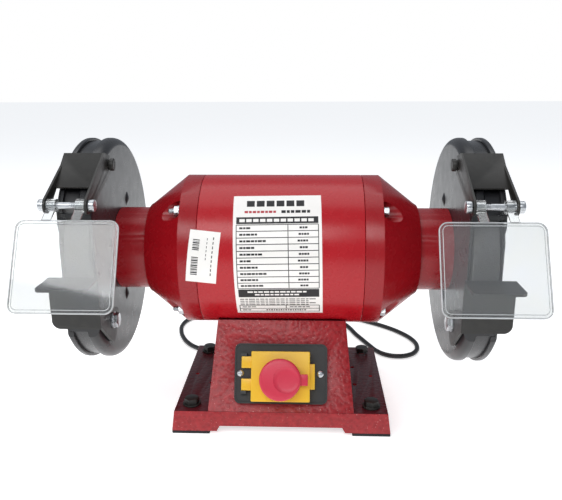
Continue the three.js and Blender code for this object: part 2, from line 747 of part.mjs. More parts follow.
function pedestal() {
  const tray = tapered(padHeight, baseTop, [-baseHalfFoot, baseHalfFoot, baseFront, baseRear],
    [-baseHalfTop, baseHalfTop, baseFront, baseRear]);
  const floor = baseTop - baseWall;
  const inFoot = baseHalfFoot - baseWall;
  const inTop = baseHalfTop - baseWall;
  const trayHollow = tapered(padHeight - past, floor,
    [-inFoot, inFoot, baseFront + baseWall, baseRear - baseWall],
    [-inTop, inTop, baseFront + baseWall, baseRear - baseWall]);
  const column = tapered(baseTop - 1, columnTop, [-columnHalfFoot, columnHalfFoot, baseFront, baseRear],
    [-columnHalfTop, columnHalfTop, -columnTopDepth, columnTopDepth]);
  const hollowTop = spindleHeight - motorRadius - gap - saddleWall;
  const [hollowFoot, hollowHead] = [columnHalfFoot - columnWall, columnHalfTop - columnWall];
  const narrowing = (columnTop - hollowTop) / (columnTop - baseTop);
  const frontTop = -columnTopDepth + narrowing * (baseFront + columnTopDepth) + columnWall * 1.1;
  const rearTop = columnTopDepth + narrowing * (baseRear - columnTopDepth) - columnWall * 1.1;
  const columnHollow = tapered(floor - 1, hollowTop,
    [-hollowFoot, hollowFoot, baseFront + baseWall, baseRear - baseWall],
    [-hollowHead, hollowHead, frontTop, rearTop]);
  const saddle = barX(-baseHalfFoot, baseHalfFoot, motorRadius + gap, 0, spindleHeight, 2 * roundSides);
  const arch = tapered(0, archTop, [-archHalfFoot, archHalfFoot, baseFront - past, baseRear + past],
    [-archHalfTop, archHalfTop, baseFront - past, baseRear + past]);
  const wires = barZ(hollowTop - past, spindleHeight - motorRadius + past, wireHole, 0, 0);
  const opening = box(-switchWidth / 2 - switchFit, switchWidth / 2 + switchFit,
    -switchTall / 2 - switchFit, switchTall / 2 + switchFit, -4 * columnWall, past);
  opening.applyMatrix4(switchFrame().matrix);
  const glandHole = new THREE.CylinderGeometry(glandNeck + gap, glandNeck + gap, 4 * baseWall, smallSides);
  glandHole.translate(glandX, baseRear, 0);
  glandHole.translate(0, 0, glandHeight);
  const holes = footRows.flatMap((y) => [-1, 1].map((side) =>
    barZ(floor - past, baseTop + past, footHoleRadius, side * footColumn, y)));
  const spare = [
    { ...flangeEdgeHole, x: baseHalfTop - flangeEdgeHole.inset },
    ...flangeRootHoles.map((hole) => ({ ...hole, x: columnHalfFoot + hole.inset })),
  ];
  const spareHoles = spare.flatMap(({ x, y, radius }) => [-1, 1].map((side) =>
    barZ(floor - past, baseTop + past, radius, side * x, y)));
  const screwHoles = plateScrews.map((x) => {
    const hole = barZ(-2 * columnWall, past, plateScrewShank + gap, x, 0);
    return hole.applyMatrix4(switchFrame().matrix);
  });
  const tools = [trayHollow, columnHollow, saddle, arch, wires, opening, glandHole, ...holes, ...spareHoles,
    ...screwHoles];
  return cut(join(solidOf(tray), solidOf(column)), ...tools.map(solidOf));
}

function rubberPad(side, row) {
  const front = row === 0 ? baseFront : baseRear - padLength;
  const x = [side * padInner, side * baseHalfFoot].sort((a, b) => a - b);
  return solidOf(box(x[0], x[1], front, front + padLength, 0, padHeight - gap));
}

function footBolt(side, row) {
  const [x, y] = [side * footColumn, footRows[row]];
  const seat = baseTop + gap;
  const head = seat + footWasherHeight;
  return join(
    solidOf(barZ(seat, head, footWasherRadius, x, y, middleSides)),
    solidOf(barZ(head - into, head + footBoltHead, footBoltAcross / Math.sqrt(3), x, y, hexSides)),
    solidOf(barZ(padHeight + gap, head, footBoltRadius, x, y)));
}

function bottomCover() {
  const top = baseTop - baseWall - gap;
  const half = baseHalfTop - bottomCoverInset;
  return solidOf(box(-half, half, baseFront + baseWall + 2 * gap, baseRear - 4 * baseWall + 5,
    top - bottomCoverSheet, top));
}

function capacitor() {
  const z = baseTop - baseWall + capacitorRadius;
  const end = capacitorLength / 2;
  return join(
    solidOf(barX(-end, end, capacitorRadius, capacitorY, z, middleSides)),
    solidOf(barX(end - into, end + terminalLength, terminalRadius, capacitorY, z)));
}

// ---------------------------------------------------------------- switch, drawn flat: X right, Y up, Z outward

function switchPlate() {
  const plate = extruded(roundedRectangle(plateWidth, plateHeight, plateCorner), plateSheet);
  plate.translate(0, 0, gap);
  const [w, h] = [switchWidth / 2 + switchFit, switchTall / 2 + switchFit];
  const screws = plateScrews.map((x) => barZ(gap - past, plateSheet + past, plateScrewShank + gap, x, 0, 12));
  const ends = [-1, 1].flatMap((side) => {
    const ear = side * (flapEarSpacing + flapEarHeight / 2);
    const [y0, y1] = [ear + side * gap, ear + side * (gap + hingeLug)].sort((a, b) => a - b);
    const top = hingeHeight + hingeLug - 0.5;
    const pin = barX(0, hingeLug + 4, hingePinRadius, 0, 0);
    pin.rotateZ(-side * Math.PI / 2);
    pin.translate(hingeX, ear + side * (gap + hingeLug - 1), hingeHeight);
    return [box(hingeX - hingeLug, hingeX + hingeLug, y0, y1, plateSheet - 1, top), pin];
  });
  return cut(join(solidOf(plate), ...ends.map(solidOf)),
    solidOf(box(-w, w, -h, h, -past, plateSheet + past)), ...screws.map(solidOf));
}

function plateScrew(x) {
  const seat = plateSheet + 2 * gap;
  return join(
    solidOf(barZ(seat, seat + 1.8, plateScrewRadius, x, 0)),
    solidOf(barZ(-2 * columnWall, seat + 1, plateScrewShank, x, 0)));
}

function switchBody() {
  const [wide, tall] = [switchWidth / 2, switchTall / 2];
  const block = box(-wide, wide, -tall, tall, -switchDepth, switchFace);
  const wells = [-1, 1].map((side) => {
    const [w, h] = [keyWidth / 2 + gap, keyHeight / 2 + gap];
    const floor = keyTop - keyDepth - keyTravel - gap;
    return box(side * keySpacing - w, side * keySpacing + w, -h, h, floor, switchFace + past);
  });
  return cut(solidOf(block), ...wells.map(solidOf));
}

function key(side) {
  const cap = extruded(roundedRectangle(keyWidth, keyHeight, 1.5), keyDepth);
  cap.translate(side * keySpacing, 0, keyTop - keyDepth);
  return solidOf(cap);
}

// Hinged cover that closes over the two keys, with hinge ears on the left and a catch on the right.
function switchFlap() {
  const [w, h] = [flapWidth / 2, flapHeight / 2];
  const shell = box(-w, w, -h - flapDrop, h - flapDrop, flapBase, flapFace);
  const hollow = box(-w + flapWall, w - flapWall, -h - flapDrop + flapWall, h - flapDrop - flapWall,
    flapBase - past, flapFace - flapWall);
  const ears = [-1, 1].map((side) => {
    const middle = side * flapEarSpacing;
    return box(hingeX - flapEarSheet / 2, -w + flapWall, middle - flapEarHeight / 2, middle + flapEarHeight / 2,
      hingeHeight - flapEarSheet / 2, hingeHeight + flapEarSheet / 2);
  });
  const pinHoles = [-1, 1].map((side) => {
    const hole = barX(-past, hingeLug + 3, hingePinRadius + gap, 0, 0);
    hole.rotateZ(-side * Math.PI / 2);
    hole.translate(hingeX, side * (flapEarSpacing + flapEarHeight / 2), hingeHeight);
    return hole;
  });
  const tab = box(w - flapWall, w + flapTabReach, -flapTabHeight / 2 - flapDrop, flapTabHeight / 2 - flapDrop,
    flapBase, flapBase + flapTabDepth);
  const stemHole = barZ(flapBase, flapFace + past, mushroomStem + stemFit, keySpacing,
    -flapDrop - mushroomDrop);
  return cut(join(cut(solidOf(shell), solidOf(hollow)), ...ears.map(solidOf), solidOf(tab)),
    solidOf(stemHole), ...pinHoles.map(solidOf));
}

function mushroom() {
  const y = -flapDrop - mushroomDrop;
  const stemEnd = keyTop + gap;
  const cap = new THREE.LatheGeometry([
    [0, mushroomBase], [mushroomRadius - mushroomEdge, mushroomBase],
    [mushroomRadius, mushroomBase + mushroomEdge], [mushroomRadius, mushroomTop - mushroomEdge],
    [mushroomRadius - mushroomEdge, mushroomTop], [0, mushroomTop],
  ].map(([r, z]) => new THREE.Vector2(r, z)), middleSides);
  cap.rotateX(Math.PI / 2);
  cap.translate(0, y, 0);
  const { reach, halfWidth, height } = mushroomTongue;
  const tongue = box(0, reach, y - halfWidth, y + halfWidth, mushroomBase, mushroomBase + height);
  const stem = barZ(stemEnd, mushroomBase + into, mushroomStem, keySpacing, y);
  return join(solidOf(cap), solidOf(tongue), solidOf(stem));
}

// ---------------------------------------------------------------- cord

const restingHeight = cordRadius + 0.1;
const [coilX, coilY] = coilCentre;
const coilOuter = coilMeanRadius + coilHalfWidth;
const lastTurn = coilOuter - cordRadius;
const lastTurnStart = Math.sqrt(coilOuter ** 2 - (lastTurn - cordRadius - gap) ** 2);
const glandTipY = baseRear + glandLength;

const cordRoute = [
  [glandX, glandTipY + gap, glandHeight], [0, 118, 14.3], [-3.5, 132, 11], [-13, 143.5, 7.4],
  [-27.5, 149, 4.4], [-42.5, 147], [-56.5, 137.5], [-70, 124.5], [-83.5, 114], [-97, 109.8],
  [-109, 112.3], [-120, 119.2], [-130.5, 130.5], [-141, 149], [-149, 174], [-151, 197], [-145, 218],
  [-128, 236], [-101, 246.5], [-57, 251.5], [-10, 252.5], [36, 249.5], [78, 238], [112, 216],
  [139, 194], [156.5, 173], [167, 152.5], [170.3, 133], [166.3, 115], [155.5, 103], [140.8, 99],
  [126.5, 103.3], [116, 114.5], [108, 131.5], [100, 151], [92, 171], [86, 190], [78.5, 207],
  [67, 221], [coilX + lastTurnStart, coilY + lastTurn],
].map(([x, y, z = restingHeight]) => new THREE.Vector3(x, y, z));

function cordTube() {
  const curve = new THREE.CatmullRomCurve3(cordRoute, false, 'centripetal');
  const section = new THREE.Shape(Array.from({ length: cordSides }, (_, i) => {
    const angle = (i / cordSides) * 2 * Math.PI;
    return new THREE.Vector2(cordRadius * Math.cos(angle), cordRadius * Math.sin(angle));
  }));
  const steps = Math.round(curve.getLength() / cordStep);
  return solidOf(new THREE.ExtrudeGeometry(section, { steps, extrudePath: curve, bevelEnabled: false }));
}

function cordCoil() {
  const [inner, outer] = [coilMeanRadius - coilHalfWidth, coilOuter];
  const [low, high] = [restingHeight - cordRadius, restingHeight - cordRadius + coilHeight];
  const profile = [[inner, low + 2], [inner + 2, low], [outer - 2, low], [outer, low + 2],
    [outer - 2, high], [inner + 2, high], [inner, low + 2]];
  const lathe = new THREE.LatheGeometry(profile.map(([r, z]) => new THREE.Vector2(r, z)), roundSides);
  lathe.rotateX(Math.PI / 2);
  lathe.translate(coilX, coilY, 0);
  return solidOf(lathe);
}

// Turned pieces of the cord, given as [y, radius] from where they start, lying along Y.
function turnedAlongY(profile, x, y, z) {
  const lathe = new THREE.LatheGeometry(profile.map(([along, r]) => new THREE.Vector2(r, along)), smallSides);
  lathe.translate(x, y, z);
  return solidOf(lathe);
}

function cordGland() {
  const inside = baseWall + 2;
  return turnedAlongY([
    [-inside, 0], [-inside, glandNeck], [gap, glandNeck], [gap, glandCollar], [glandFlange.width, glandCollar],
    [glandFlange.width + glandFlange.bevel, glandCollar - glandFlange.bevel],
    [glandLength, glandTip], [glandLength, 0],
  ], glandX, baseRear, glandHeight);
}

// The plug's lead leaves the coil at the back, towards -X.
function mainsPlug() {
  const y = coilY + lastTurn;
  const clearOfCoil = Math.sqrt(coilOuter ** 2 - (lastTurn - plugReliefRadius) ** 2);
  const start = coilX - clearOfCoil - gap;
  const body = start - plugReliefLength;
  const face = body - plugBodyLength;
  const reliefEnd = plugReliefRadius + plugReliefFlare;
  const relief = turned([[start, 0], [start, plugReliefRadius], [body, reliefEnd], [body - into, reliefEnd],
    [body - into, 0]], smallSides);
  const pins = [-1, 0, 1].map((place) => {
    const tip = face - plugPinLength;
    const pin = turned([[face + into, 0], [face + into, plugPinRadius], [tip + plugPinRadius / 2, plugPinRadius],
      [tip, plugPinRadius / 2], [tip, 0]], smallSides);
    return pin.translate(0, y + place * plugPinSpacing, plugHeight + (place ? 0 : plugPinRise));
  });
  const low = restingHeight - cordRadius;
  const block = box(face, body, y - plugHalfWidth, y + plugHalfWidth, low, 2 * plugHeight - low);
  return join(solidOf(relief.translate(0, y, plugHeight)), solidOf(block), ...pins.map(solidOf));
}

// ---------------------------------------------------------------- assembly

const grinder = new THREE.Group();
grinder.position.y = axisSetback;

const add = (...args) => grinder.add(piece(...args));

add('pedestal', pedestal(), hammeredRed);
for (const [sideName, side] of sides) {
  for (const [row, rowName] of ['front', 'rear'].entries()) {
    add(`rubber_pad_${rowName}_${sideName}`, rubberPad(side, row), blackRubber);
    add(`foot_bolt_${rowName}_${sideName}`, footBolt(side, row), blackSteel);
  }
}
add('bottom_cover', bottomCover(), steel);
add('capacitor', capacitor(), greyCan);

add('motor_shell', motorShell(), redEnamel);
add('stator_core', statorCore(), steel);
add('stator_winding', statorWinding(), copper);
add('rotor_core', rotorCore(), steel);
add('spindle_shaft', shaft(), steel);
boltPlaces().forEach((place, i) => add(`through_bolt_${i + 1}`, throughBolt(place), zinc));

const handedPieces = [
  ['end_bell', endBell, redEnamel], ['bearing', bearing, steel], ['wheel', wheel, grit],
  ['wheel_flange_inner', innerFlange, steel], ['wheel_flange_outer', outerFlange, steel],
  ['spindle_nut', wheelNut, zinc], ['guard_pan', guardPan, blackEnamel],
  ['guard_cover', guardCover, blackEnamel], ['spark_deflector', deflector, blackSteel],
  ['deflector_bolt', deflectorBolt, blackSteel], ['shield_rod', shieldRod, zinc],
  ['eye_shield', eyeShield, clear], ['tool_rest', toolRest, blackSteel], ['tool_rest_bolt', restBolt, zinc],
];
for (const [name, make, look] of handedPieces) {
  for (const [sideName, side] of sides) {
    grinder.add(handed(`${name}_${sideName}`, side, make(), look));
  }
}

const frontSwitch = switchFrame();
frontSwitch.add(
  piece('switch_plate', switchPlate(), blackPlastic), piece('switch_body', switchBody(), blackPlastic),
  piece('start_key', key(-1), greenPlastic), piece('stop_key', key(1), redPlastic),
  piece('switch_flap', switchFlap(), yellowPlastic), piece('stop_mushroom', mushroom(), redPlastic),
  ...plateScrews.map((x) => piece(`plate_screw_${x < 0 ? 'left' : 'right'}`, plateScrew(x), zinc)));
grinder.add(frontSwitch);

add('cord_gland', cordGland(), blackRubber);
add('cord', cordTube(), blackRubber);
add('cord_coil', cordCoil(), blackRubber);
add('mains_plug', mainsPlug(), blackRubber);

export default grinder;
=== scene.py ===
import json
import math

import bmesh
import bpy
from mathutils import Matrix, Vector, geometry


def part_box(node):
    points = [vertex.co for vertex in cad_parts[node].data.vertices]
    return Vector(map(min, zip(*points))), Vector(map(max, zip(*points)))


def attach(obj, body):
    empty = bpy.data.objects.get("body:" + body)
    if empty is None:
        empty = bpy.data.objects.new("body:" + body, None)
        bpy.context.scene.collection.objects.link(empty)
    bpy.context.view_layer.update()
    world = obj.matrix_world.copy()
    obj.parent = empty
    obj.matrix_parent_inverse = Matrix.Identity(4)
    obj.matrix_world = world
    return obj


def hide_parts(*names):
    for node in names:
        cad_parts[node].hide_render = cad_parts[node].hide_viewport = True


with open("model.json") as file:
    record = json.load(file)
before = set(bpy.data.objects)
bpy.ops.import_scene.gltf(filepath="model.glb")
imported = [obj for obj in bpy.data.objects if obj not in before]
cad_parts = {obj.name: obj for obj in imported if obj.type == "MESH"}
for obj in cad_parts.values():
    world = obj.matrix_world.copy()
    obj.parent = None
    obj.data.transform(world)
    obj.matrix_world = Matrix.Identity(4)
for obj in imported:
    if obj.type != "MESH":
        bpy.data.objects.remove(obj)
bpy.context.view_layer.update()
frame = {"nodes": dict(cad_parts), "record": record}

# A double-ended bench grinder. Pieces are drawn in millimetres and shrunk to metres when finished.
mm = 0.001


# ---- where things are

def corners(node):
    low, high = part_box(node)
    return Vector(low) / mm, Vector(high) / mm


shaftLow, shaftHigh = corners("spindle_shaft")
axisY = (shaftLow.y + shaftHigh.y) / 2
axisZ = (shaftLow.z + shaftHigh.z) / 2
record = frame["record"]
bodyOf = {node: body for body, nodes in record["behaviour"]["bodies"].items() for node in nodes}


# ---- camera, floor and light

view = dict(place=(0.0259, -0.6597, 0.3618), yaw=-2.36, pitch=-15.62, roll=-0.26, lens=42.8)


def aimCamera():
    yaw, pitch, roll = (math.radians(view[turn]) for turn in ("yaw", "pitch", "roll"))
    forward = Vector((math.cos(pitch) * math.sin(yaw), math.cos(pitch) * math.cos(yaw), math.sin(pitch)))
    level = Vector((math.cos(yaw), -math.sin(yaw), 0))
    upright = level.cross(forward)
    across = math.cos(roll) * level + math.sin(roll) * upright
    upward = math.cos(roll) * upright - math.sin(roll) * level
    camera = bpy.data.objects.new("camera", bpy.data.cameras.new("camera"))
    camera.data.lens = view["lens"]
    camera.data.sensor_width = 36
    facing = Matrix((across, upward, -forward)).transposed().to_4x4()
    camera.matrix_world = Matrix.Translation(view["place"]) @ facing
    bpy.context.scene.collection.objects.link(camera)
    bpy.context.scene.camera = camera


def softbox(name, place, target, size, power):
    light = bpy.data.objects.new(name, bpy.data.lights.new(name, "AREA"))
    light.data.shape = "RECTANGLE"
    light.data.size, light.data.size_y = size
    light.data.energy = power
    light.location = place
    light.rotation_euler = (Vector(target) - Vector(place)).to_track_quat("-Z", "Y").to_euler()
    bpy.context.scene.collection.objects.link(light)


def hexColor(code):
    channels = [int(code[i:i + 2], 16) / 255 for i in (1, 3, 5)]
    return [c / 12.92 if c <= 0.04045 else ((c + 0.055) / 1.055) ** 2.4 for c in channels] + [1]


def addNode(material, kind, settings=(), links=()):
    node = material.node_tree.nodes.new(kind)
    for name, value in dict(settings).items():
        if isinstance(name, int) or name in node.inputs:
            node.inputs[name].default_value = value
        else:
            setattr(node, name, value)
    for name, socket in dict(links).items():
        material.node_tree.links.new(socket, node.inputs[name])
    return node


def newMaterial(name, color, roughness, **settings):
    material = bpy.data.materials.new(name)
    material.use_nodes = True
    shader = material.node_tree.nodes["Principled BSDF"]
    shader.inputs["Base Color"].default_value = hexColor(color)
    shader.inputs["Roughness"].default_value = roughness
    for socket, value in settings.items():
        shader.inputs[socket.replace("_", " ")].default_value = value
    return material, shader


studio = dict(floor="#F7F7F6", glow=0.6, halfFloor=6, seen="#FFFFFF", air="#DDE4EE", airStrength=0.42)
lamps = dict(  # place, what it points at, size and power
    key=((-0.35, -1.05, 1.15), (0, 0, 0.15), (1.5, 0.55), 11),
    top=((0.0, 0.35, 1.5), (0, 0.1, 0), (1.8, 1.2), 9),
    side=((-1.3, -0.3, 0.6), (0, 0, 0.15), (0.6, 0.8), 3),
)


def setStudio():
    # matt white paper, lit from within a little so that it stays pale far back
    paper, _ = newMaterial("paper_sweep", studio["floor"], 0.9, Specular_IOR_Level=0.1,
                           Emission_Color=(1, 1, 1, 1), Emission_Strength=studio["glow"])
    bm = bmesh.new()
    bmesh.ops.create_grid(bm, x_segments=8, y_segments=8, size=studio["halfFloor"])
    mesh = bpy.data.meshes.new("floor")
    bm.to_mesh(mesh)
    bm.free()
    mesh.materials.append(paper)
    floor = bpy.data.objects.new("floor", mesh)
    bpy.context.scene.collection.objects.link(floor)
    world = bpy.data.worlds.new("studio_air")
    world.use_nodes = True
    background = world.node_tree.nodes["Background"]
    background.inputs["Color"].default_value = hexColor(studio["air"])
    background.inputs["Strength"].default_value = studio["airStrength"]
    # the backdrop is white to the eye, and dimmer where it only fills in the shadows
    backdrop = addNode(world, "ShaderNodeBackground", {"Color": hexColor(studio["seen"]), "Strength": 1.0})
    path = addNode(world, "ShaderNodeLightPath")
    both = addNode(world, "ShaderNodeMixShader", {}, {0: path.outputs["Is Camera Ray"],
                                                      1: background.outputs[0], 2: backdrop.outputs[0]})
    world.node_tree.links.new(both.outputs[0], world.node_tree.nodes["World Output"].inputs["Surface"])
    bpy.context.scene.world = world
    bpy.context.scene.view_settings.view_transform = "Standard"  # colours as they are mixed
    for name, lamp in lamps.items():
        softbox(name, *lamp)


aimCamera()
setStudio()
print("stage: camera and studio")


# ---- shapes: every draft is an object whose mesh is in millimetres

alongX = Matrix(((0, 0, 1, 0), (1, 0, 0, 0), (0, 1, 0, 0), (0, 0, 0, 1)))  # local Z runs along X
alongY = Matrix(((0, 1, 0, 0), (0, 0, 1, 0), (1, 0, 0, 0), (0, 0, 0, 1)))  # local Z runs along Y
onShaft = Matrix.Translation((0, axisY, axisZ)) @ alongX


def draftOf(bm):
    bmesh.ops.recalc_face_normals(bm, faces=bm.faces)
    mesh = bpy.data.meshes.new("draft")
    bm.to_mesh(mesh)
    bm.free()
    draft = bpy.data.objects.new("draft", mesh)
    bpy.context.scene.collection.objects.link(draft)
    return draft


# [along, radius] points turned about the local Z axis; the profile ends on the axis or closes on itself
def turned(profile, place, segments=96):
    bm = bmesh.new()
    rings = []
    for along, radius in profile:
        count = segments if radius > 1e-6 else 1
        angles = [2 * math.pi * i / count for i in range(count)]
        rings.append([bm.verts.new((radius * math.cos(a), radius * math.sin(a), along)) for a in angles])
    pairs = list(zip(rings, rings[1:]))
    if len(rings[0]) > 1 or len(rings[-1]) > 1:
        pairs.append((rings[-1], rings[0]))
    for first, second in pairs:
        for i in range(segments):
            j = (i + 1) % segments
            face = [first[i % len(first)], first[j % len(first)],
                    second[j % len(second)], second[i % len(second)]]
            face = list(dict.fromkeys(face))
            if len(face) > 2:
                bm.faces.new(face)
    bm.transform(place)
    return draftOf(bm)


def prism(outline, z0, z1, place=Matrix()):
    bm = bmesh.new()
    low, high = ([bm.verts.new((x, y, z)) for x, y in outline] for z in (z0, z1))
    bm.faces.new(low)
    bm.faces.new(high)
    for i in range(len(low)):
        bm.faces.new((low[i - 1], low[i], high[i], high[i - 1]))
    bm.transform(place)
    return draftOf(bm)


def block(x0, x1, y0, y1, z0, z1, place=Matrix()):
    return prism([(x0, y0), (x1, y0), (x1, y1), (x0, y1)], z0, z1, place)


def circle(radius, steps, x=0, y=0):
    return [(x + radius * math.cos(2 * math.pi * i / steps), y + radius * math.sin(2 * math.pi * i / steps))
            for i in range(steps)]


# the outline of a band stretched round [x, y, radius] circles
def wrapped(circles, steps=40):
    points = [Vector(point) for x, y, radius in circles for point in circle(radius, steps, x, y)]
    return [tuple(points[i]) for i in geometry.convex_hull_2d(points)]


def roundedBox(width, height, corner):
    w, h = width / 2 - corner, height / 2 - corner
    return wrapped([(w, h, corner), (-w, h, corner), (-w, -h, corner), (w, -h, corner)])


def arc(along, radius, size, start, end, steps=6):
    angles = [math.radians(start + (end - start) * i / steps) for i in range(steps + 1)]
    return [(along + size * math.cos(a), radius + size * math.sin(a)) for a in angles]


def settled(draft, spent=()):
    graph = bpy.context.evaluated_depsgraph_get()
    mesh = bpy.data.meshes.new_from_object(draft.evaluated_get(graph))
    draft.modifiers.clear()
    old = draft.data
    draft.data = mesh
    bpy.data.meshes.remove(old)
    for other in spent:
        bpy.data.objects.remove(other)
    return draft


def combined(draft, operation, others):
    for other in others:
        modifier = draft.modifiers.new(operation, "BOOLEAN")
        modifier.operation = operation
        modifier.solver = "EXACT"
        modifier.object = other
    return settled(draft, others)


def joined(draft, *others):
    return combined(draft, "UNION", others)


def cut(draft, *tools):
    return combined(draft, "DIFFERENCE", tools)


def beveled(draft, width, steps=2, angle=30):
    bevel = draft.modifiers.new("edge", "BEVEL")
    bevel.width = width
    bevel.segments = steps
    bevel.limit_method = "ANGLE"
    bevel.angle_limit = math.radians(angle)
    return settled(draft)


def smoothed(draft, angle):
    draft.data.shade_smooth()
    draft.data.set_sharp_from_angle(angle=math.radians(angle))


# makes a draft a piece of the grinder that stands for one or more of the frame's nodes
def finished(name, draft, material, *nodes, replaces=True, mirror=False, angle=32):
    mesh = draft.data
    mesh.transform(Matrix.Scale(mm, 4))
    if mirror:
        mesh.transform(Matrix.Scale(-1, 4, (1, 0, 0)))
        mesh.flip_normals()
    mesh.materials.clear()
    mesh.materials.append(material)
    smoothed(draft, angle)
    draft.name = mesh.name = name
    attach(draft, bodyOf[nodes[0]])
    if replaces:
        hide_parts(*nodes)
    return draft


# both ends of the grinder from the right-hand draft
def pair(name, draft, material, node, replaces=True, angle=32):
    other = draft.copy()
    other.data = draft.data.copy()
    bpy.context.scene.collection.objects.link(other)
    finished(f"{name}_right", draft, material, f"{node}_right", replaces=replaces, angle=angle)
    finished(f"{name}_left", other, material, f"{node}_left", replaces=replaces, mirror=True, angle=angle)


# a working copy of a node's own solid, ready for softer edges
def copied(node):
    bm = bmesh.new()
    bm.from_mesh(frame["nodes"][node].data)
    bm.transform(Matrix.Scale(1 / mm, 4))
    bmesh.ops.remove_doubles(bm, verts=bm.verts, dist=0.01)
    bmesh.ops.dissolve_limit(bm, angle_limit=math.radians(0.6), verts=bm.verts, edges=bm.edges)
    return draftOf(bm)


# ---- finishes

# noise of a real size in millimetres, in the piece's own place
def grain(material, size, detail=3, stretch=(1, 1, 1)):
    where = addNode(material, "ShaderNodeTexCoord")
    spread = addNode(material, "ShaderNodeMapping", {"Scale": stretch}, {"Vector": where.outputs["Object"]})
    return addNode(material, "ShaderNodeTexNoise", {"Scale": 1 / (size * mm), "Detail": detail},
                   {"Vector": spread.outputs["Vector"]})


def tinted(material, shader, factor, first, second):
    mix = addNode(material, "ShaderNodeMix", {"data_type": "RGBA", 6: hexColor(first), 7: hexColor(second)},
                  {0: factor})
    material.node_tree.links.new(mix.outputs[2], shader.inputs["Base Color"])


def raised(material, shader, height, depth, strength=1.0):
    bump = addNode(material, "ShaderNodeBump", {"Strength": strength, "Distance": depth * mm},
                   {"Height": height})
    material.node_tree.links.new(bump.outputs["Normal"], shader.inputs["Normal"])


def ranged(material, shader, factor, low, high):
    spread = addNode(material, "ShaderNodeMapRange", {"To Min": low, "To Max": high}, {"Value": factor})
    material.node_tree.links.new(spread.outputs["Result"], shader.inputs["Roughness"])


# Stove enamel sprayed on smooth metal: deep red, wet gloss, the faintest orange peel.
def sprayedRedEnamel(name, first, second):
    material, shader = newMaterial(name, first, 0.24, IOR=1.5, Specular_IOR_Level=0.42)
    cloud = grain(material, 45, 2)
    tinted(material, shader, cloud.outputs["Fac"], first, second)
    ranged(material, shader, grain(material, 9, 2).outputs["Fac"], 0.2, 0.34)
    raised(material, shader, grain(material, 2.5, 1).outputs["Fac"], 0.02, 0.25)  # peel, drawn coarse
    return material


# Hammer-finish lacquer: shallow craters with raised rims; the pale specks on the rims are painted highlights.
def hammeredLacquer(name, deep, bright, paintedRimHighlight, paintedTopShade, rims=0.8):
    material, shader = newMaterial(name, deep, 0.36, IOR=1.5, Specular_IOR_Level=0.42)
    where = addNode(material, "ShaderNodeTexCoord")
    warp = grain(material, 7, 2)
    bend = addNode(material, "ShaderNodeVectorMath", {"operation": "MULTIPLY_ADD", 1: (0.006, 0.006, 0.006)},
                   {0: warp.outputs["Color"], 2: where.outputs["Object"]})
    bent = {"Vector": bend.outputs["Vector"]}
    craters = addNode(material, "ShaderNodeTexVoronoi",
                      {"feature": "SMOOTH_F1", "Scale": 1 / (4.2 * mm), "Smoothness": 0.6}, bent)
    ridges = addNode(material, "ShaderNodeTexVoronoi",
                     {"feature": "DISTANCE_TO_EDGE", "Scale": 1 / (5.5 * mm)}, bent)
    speck = addNode(material, "ShaderNodeTexNoise", {"Scale": 1 / (1.6 * mm), "Detail": 2},
                    {"Vector": where.outputs["Object"]})
    pale = addNode(material, "ShaderNodeMapRange", {"From Min": 0.62, "From Max": 0.74},
                   {"Value": speck.outputs["Fac"]})
    edge = addNode(material, "ShaderNodeMapRange", {"From Min": 0.05, "From Max": 0.0},
                   {"Value": ridges.outputs["Distance"]})
    # painted highlight: pale specks where the noise is high near the crater rims
    rimHighlightMask = addNode(material, "ShaderNodeMath", {"operation": "MULTIPLY"},
                     {0: pale.outputs["Result"], 1: edge.outputs["Result"]})
    base = addNode(material, "ShaderNodeMix", {"data_type": "RGBA", 6: hexColor(deep), 7: hexColor(bright)},
                   {0: craters.outputs["Distance"]})
    withRimHighlights = addNode(material, "ShaderNodeMix", {"data_type": "RGBA", 7: hexColor(paintedRimHighlight)},
                      {0: rimHighlightMask.outputs[0], 6: base.outputs[2]})
    # painted shade: faces that point up are drawn darker than the walls, standing in for how light falls on
    # them
    facing = addNode(material, "ShaderNodeNewGeometry")
    parts = addNode(material, "ShaderNodeSeparateXYZ", {}, {0: facing.outputs["Normal"]})
    level = addNode(material, "ShaderNodeMapRange", {"From Min": 0.8, "From Max": 0.97},
                    {"Value": parts.outputs["Z"]})
    withPaintedTopShade = addNode(material, "ShaderNodeMix", {"data_type": "RGBA", 7: hexColor(paintedTopShade)},
                          {0: level.outputs["Result"], 6: withRimHighlights.outputs[2]})
    material.node_tree.links.new(withPaintedTopShade.outputs[2], shader.inputs["Base Color"])
    raised(material, shader, craters.outputs["Distance"], rims, 0.55)
    return material


# Pressed steel sheet in dark enamel: near-black with a clean wide sheen.
def pressedDarkEnamel():
    material, shader = newMaterial("dark_enamel_sheet", "#1C1C1F", 0.27, IOR=1.52)
    tinted(material, shader, grain(material, 30, 2).outputs["Fac"], "#121214", "#222225")
    ranged(material, shader, grain(material, 12, 2).outputs["Fac"], 0.22, 0.36)
    raised(material, shader, grain(material, 3, 1).outputs["Fac"], 0.03, 0.3)
    return material


# Satin black paint on bent sheet: dull, a little brown, rubbed lighter in places.
def satinBlackPaint():
    material, shader = newMaterial("satin_black_paint", "#1C1B19", 0.42, IOR=1.5)
    tinted(material, shader, grain(material, 8, 4).outputs["Fac"], "#161513", "#2A2824")
    ranged(material, shader, grain(material, 5, 3).outputs["Fac"], 0.34, 0.52)
    raised(material, shader, grain(material, 0.9, 2).outputs["Fac"], 0.03, 0.4)
    return material


# Bright zinc plate: pale bluish metal, slightly cloudy.
def zincPlate():
    material, shader = newMaterial("bright_zinc_plate", "#C4C7CA", 0.28, Metallic=1.0)
    tinted(material, shader, grain(material, 4, 3).outputs["Fac"], "#B2B6BA", "#D6D8DA")
    ranged(material, shader, grain(material, 3, 3).outputs["Fac"], 0.2, 0.4)
    return material


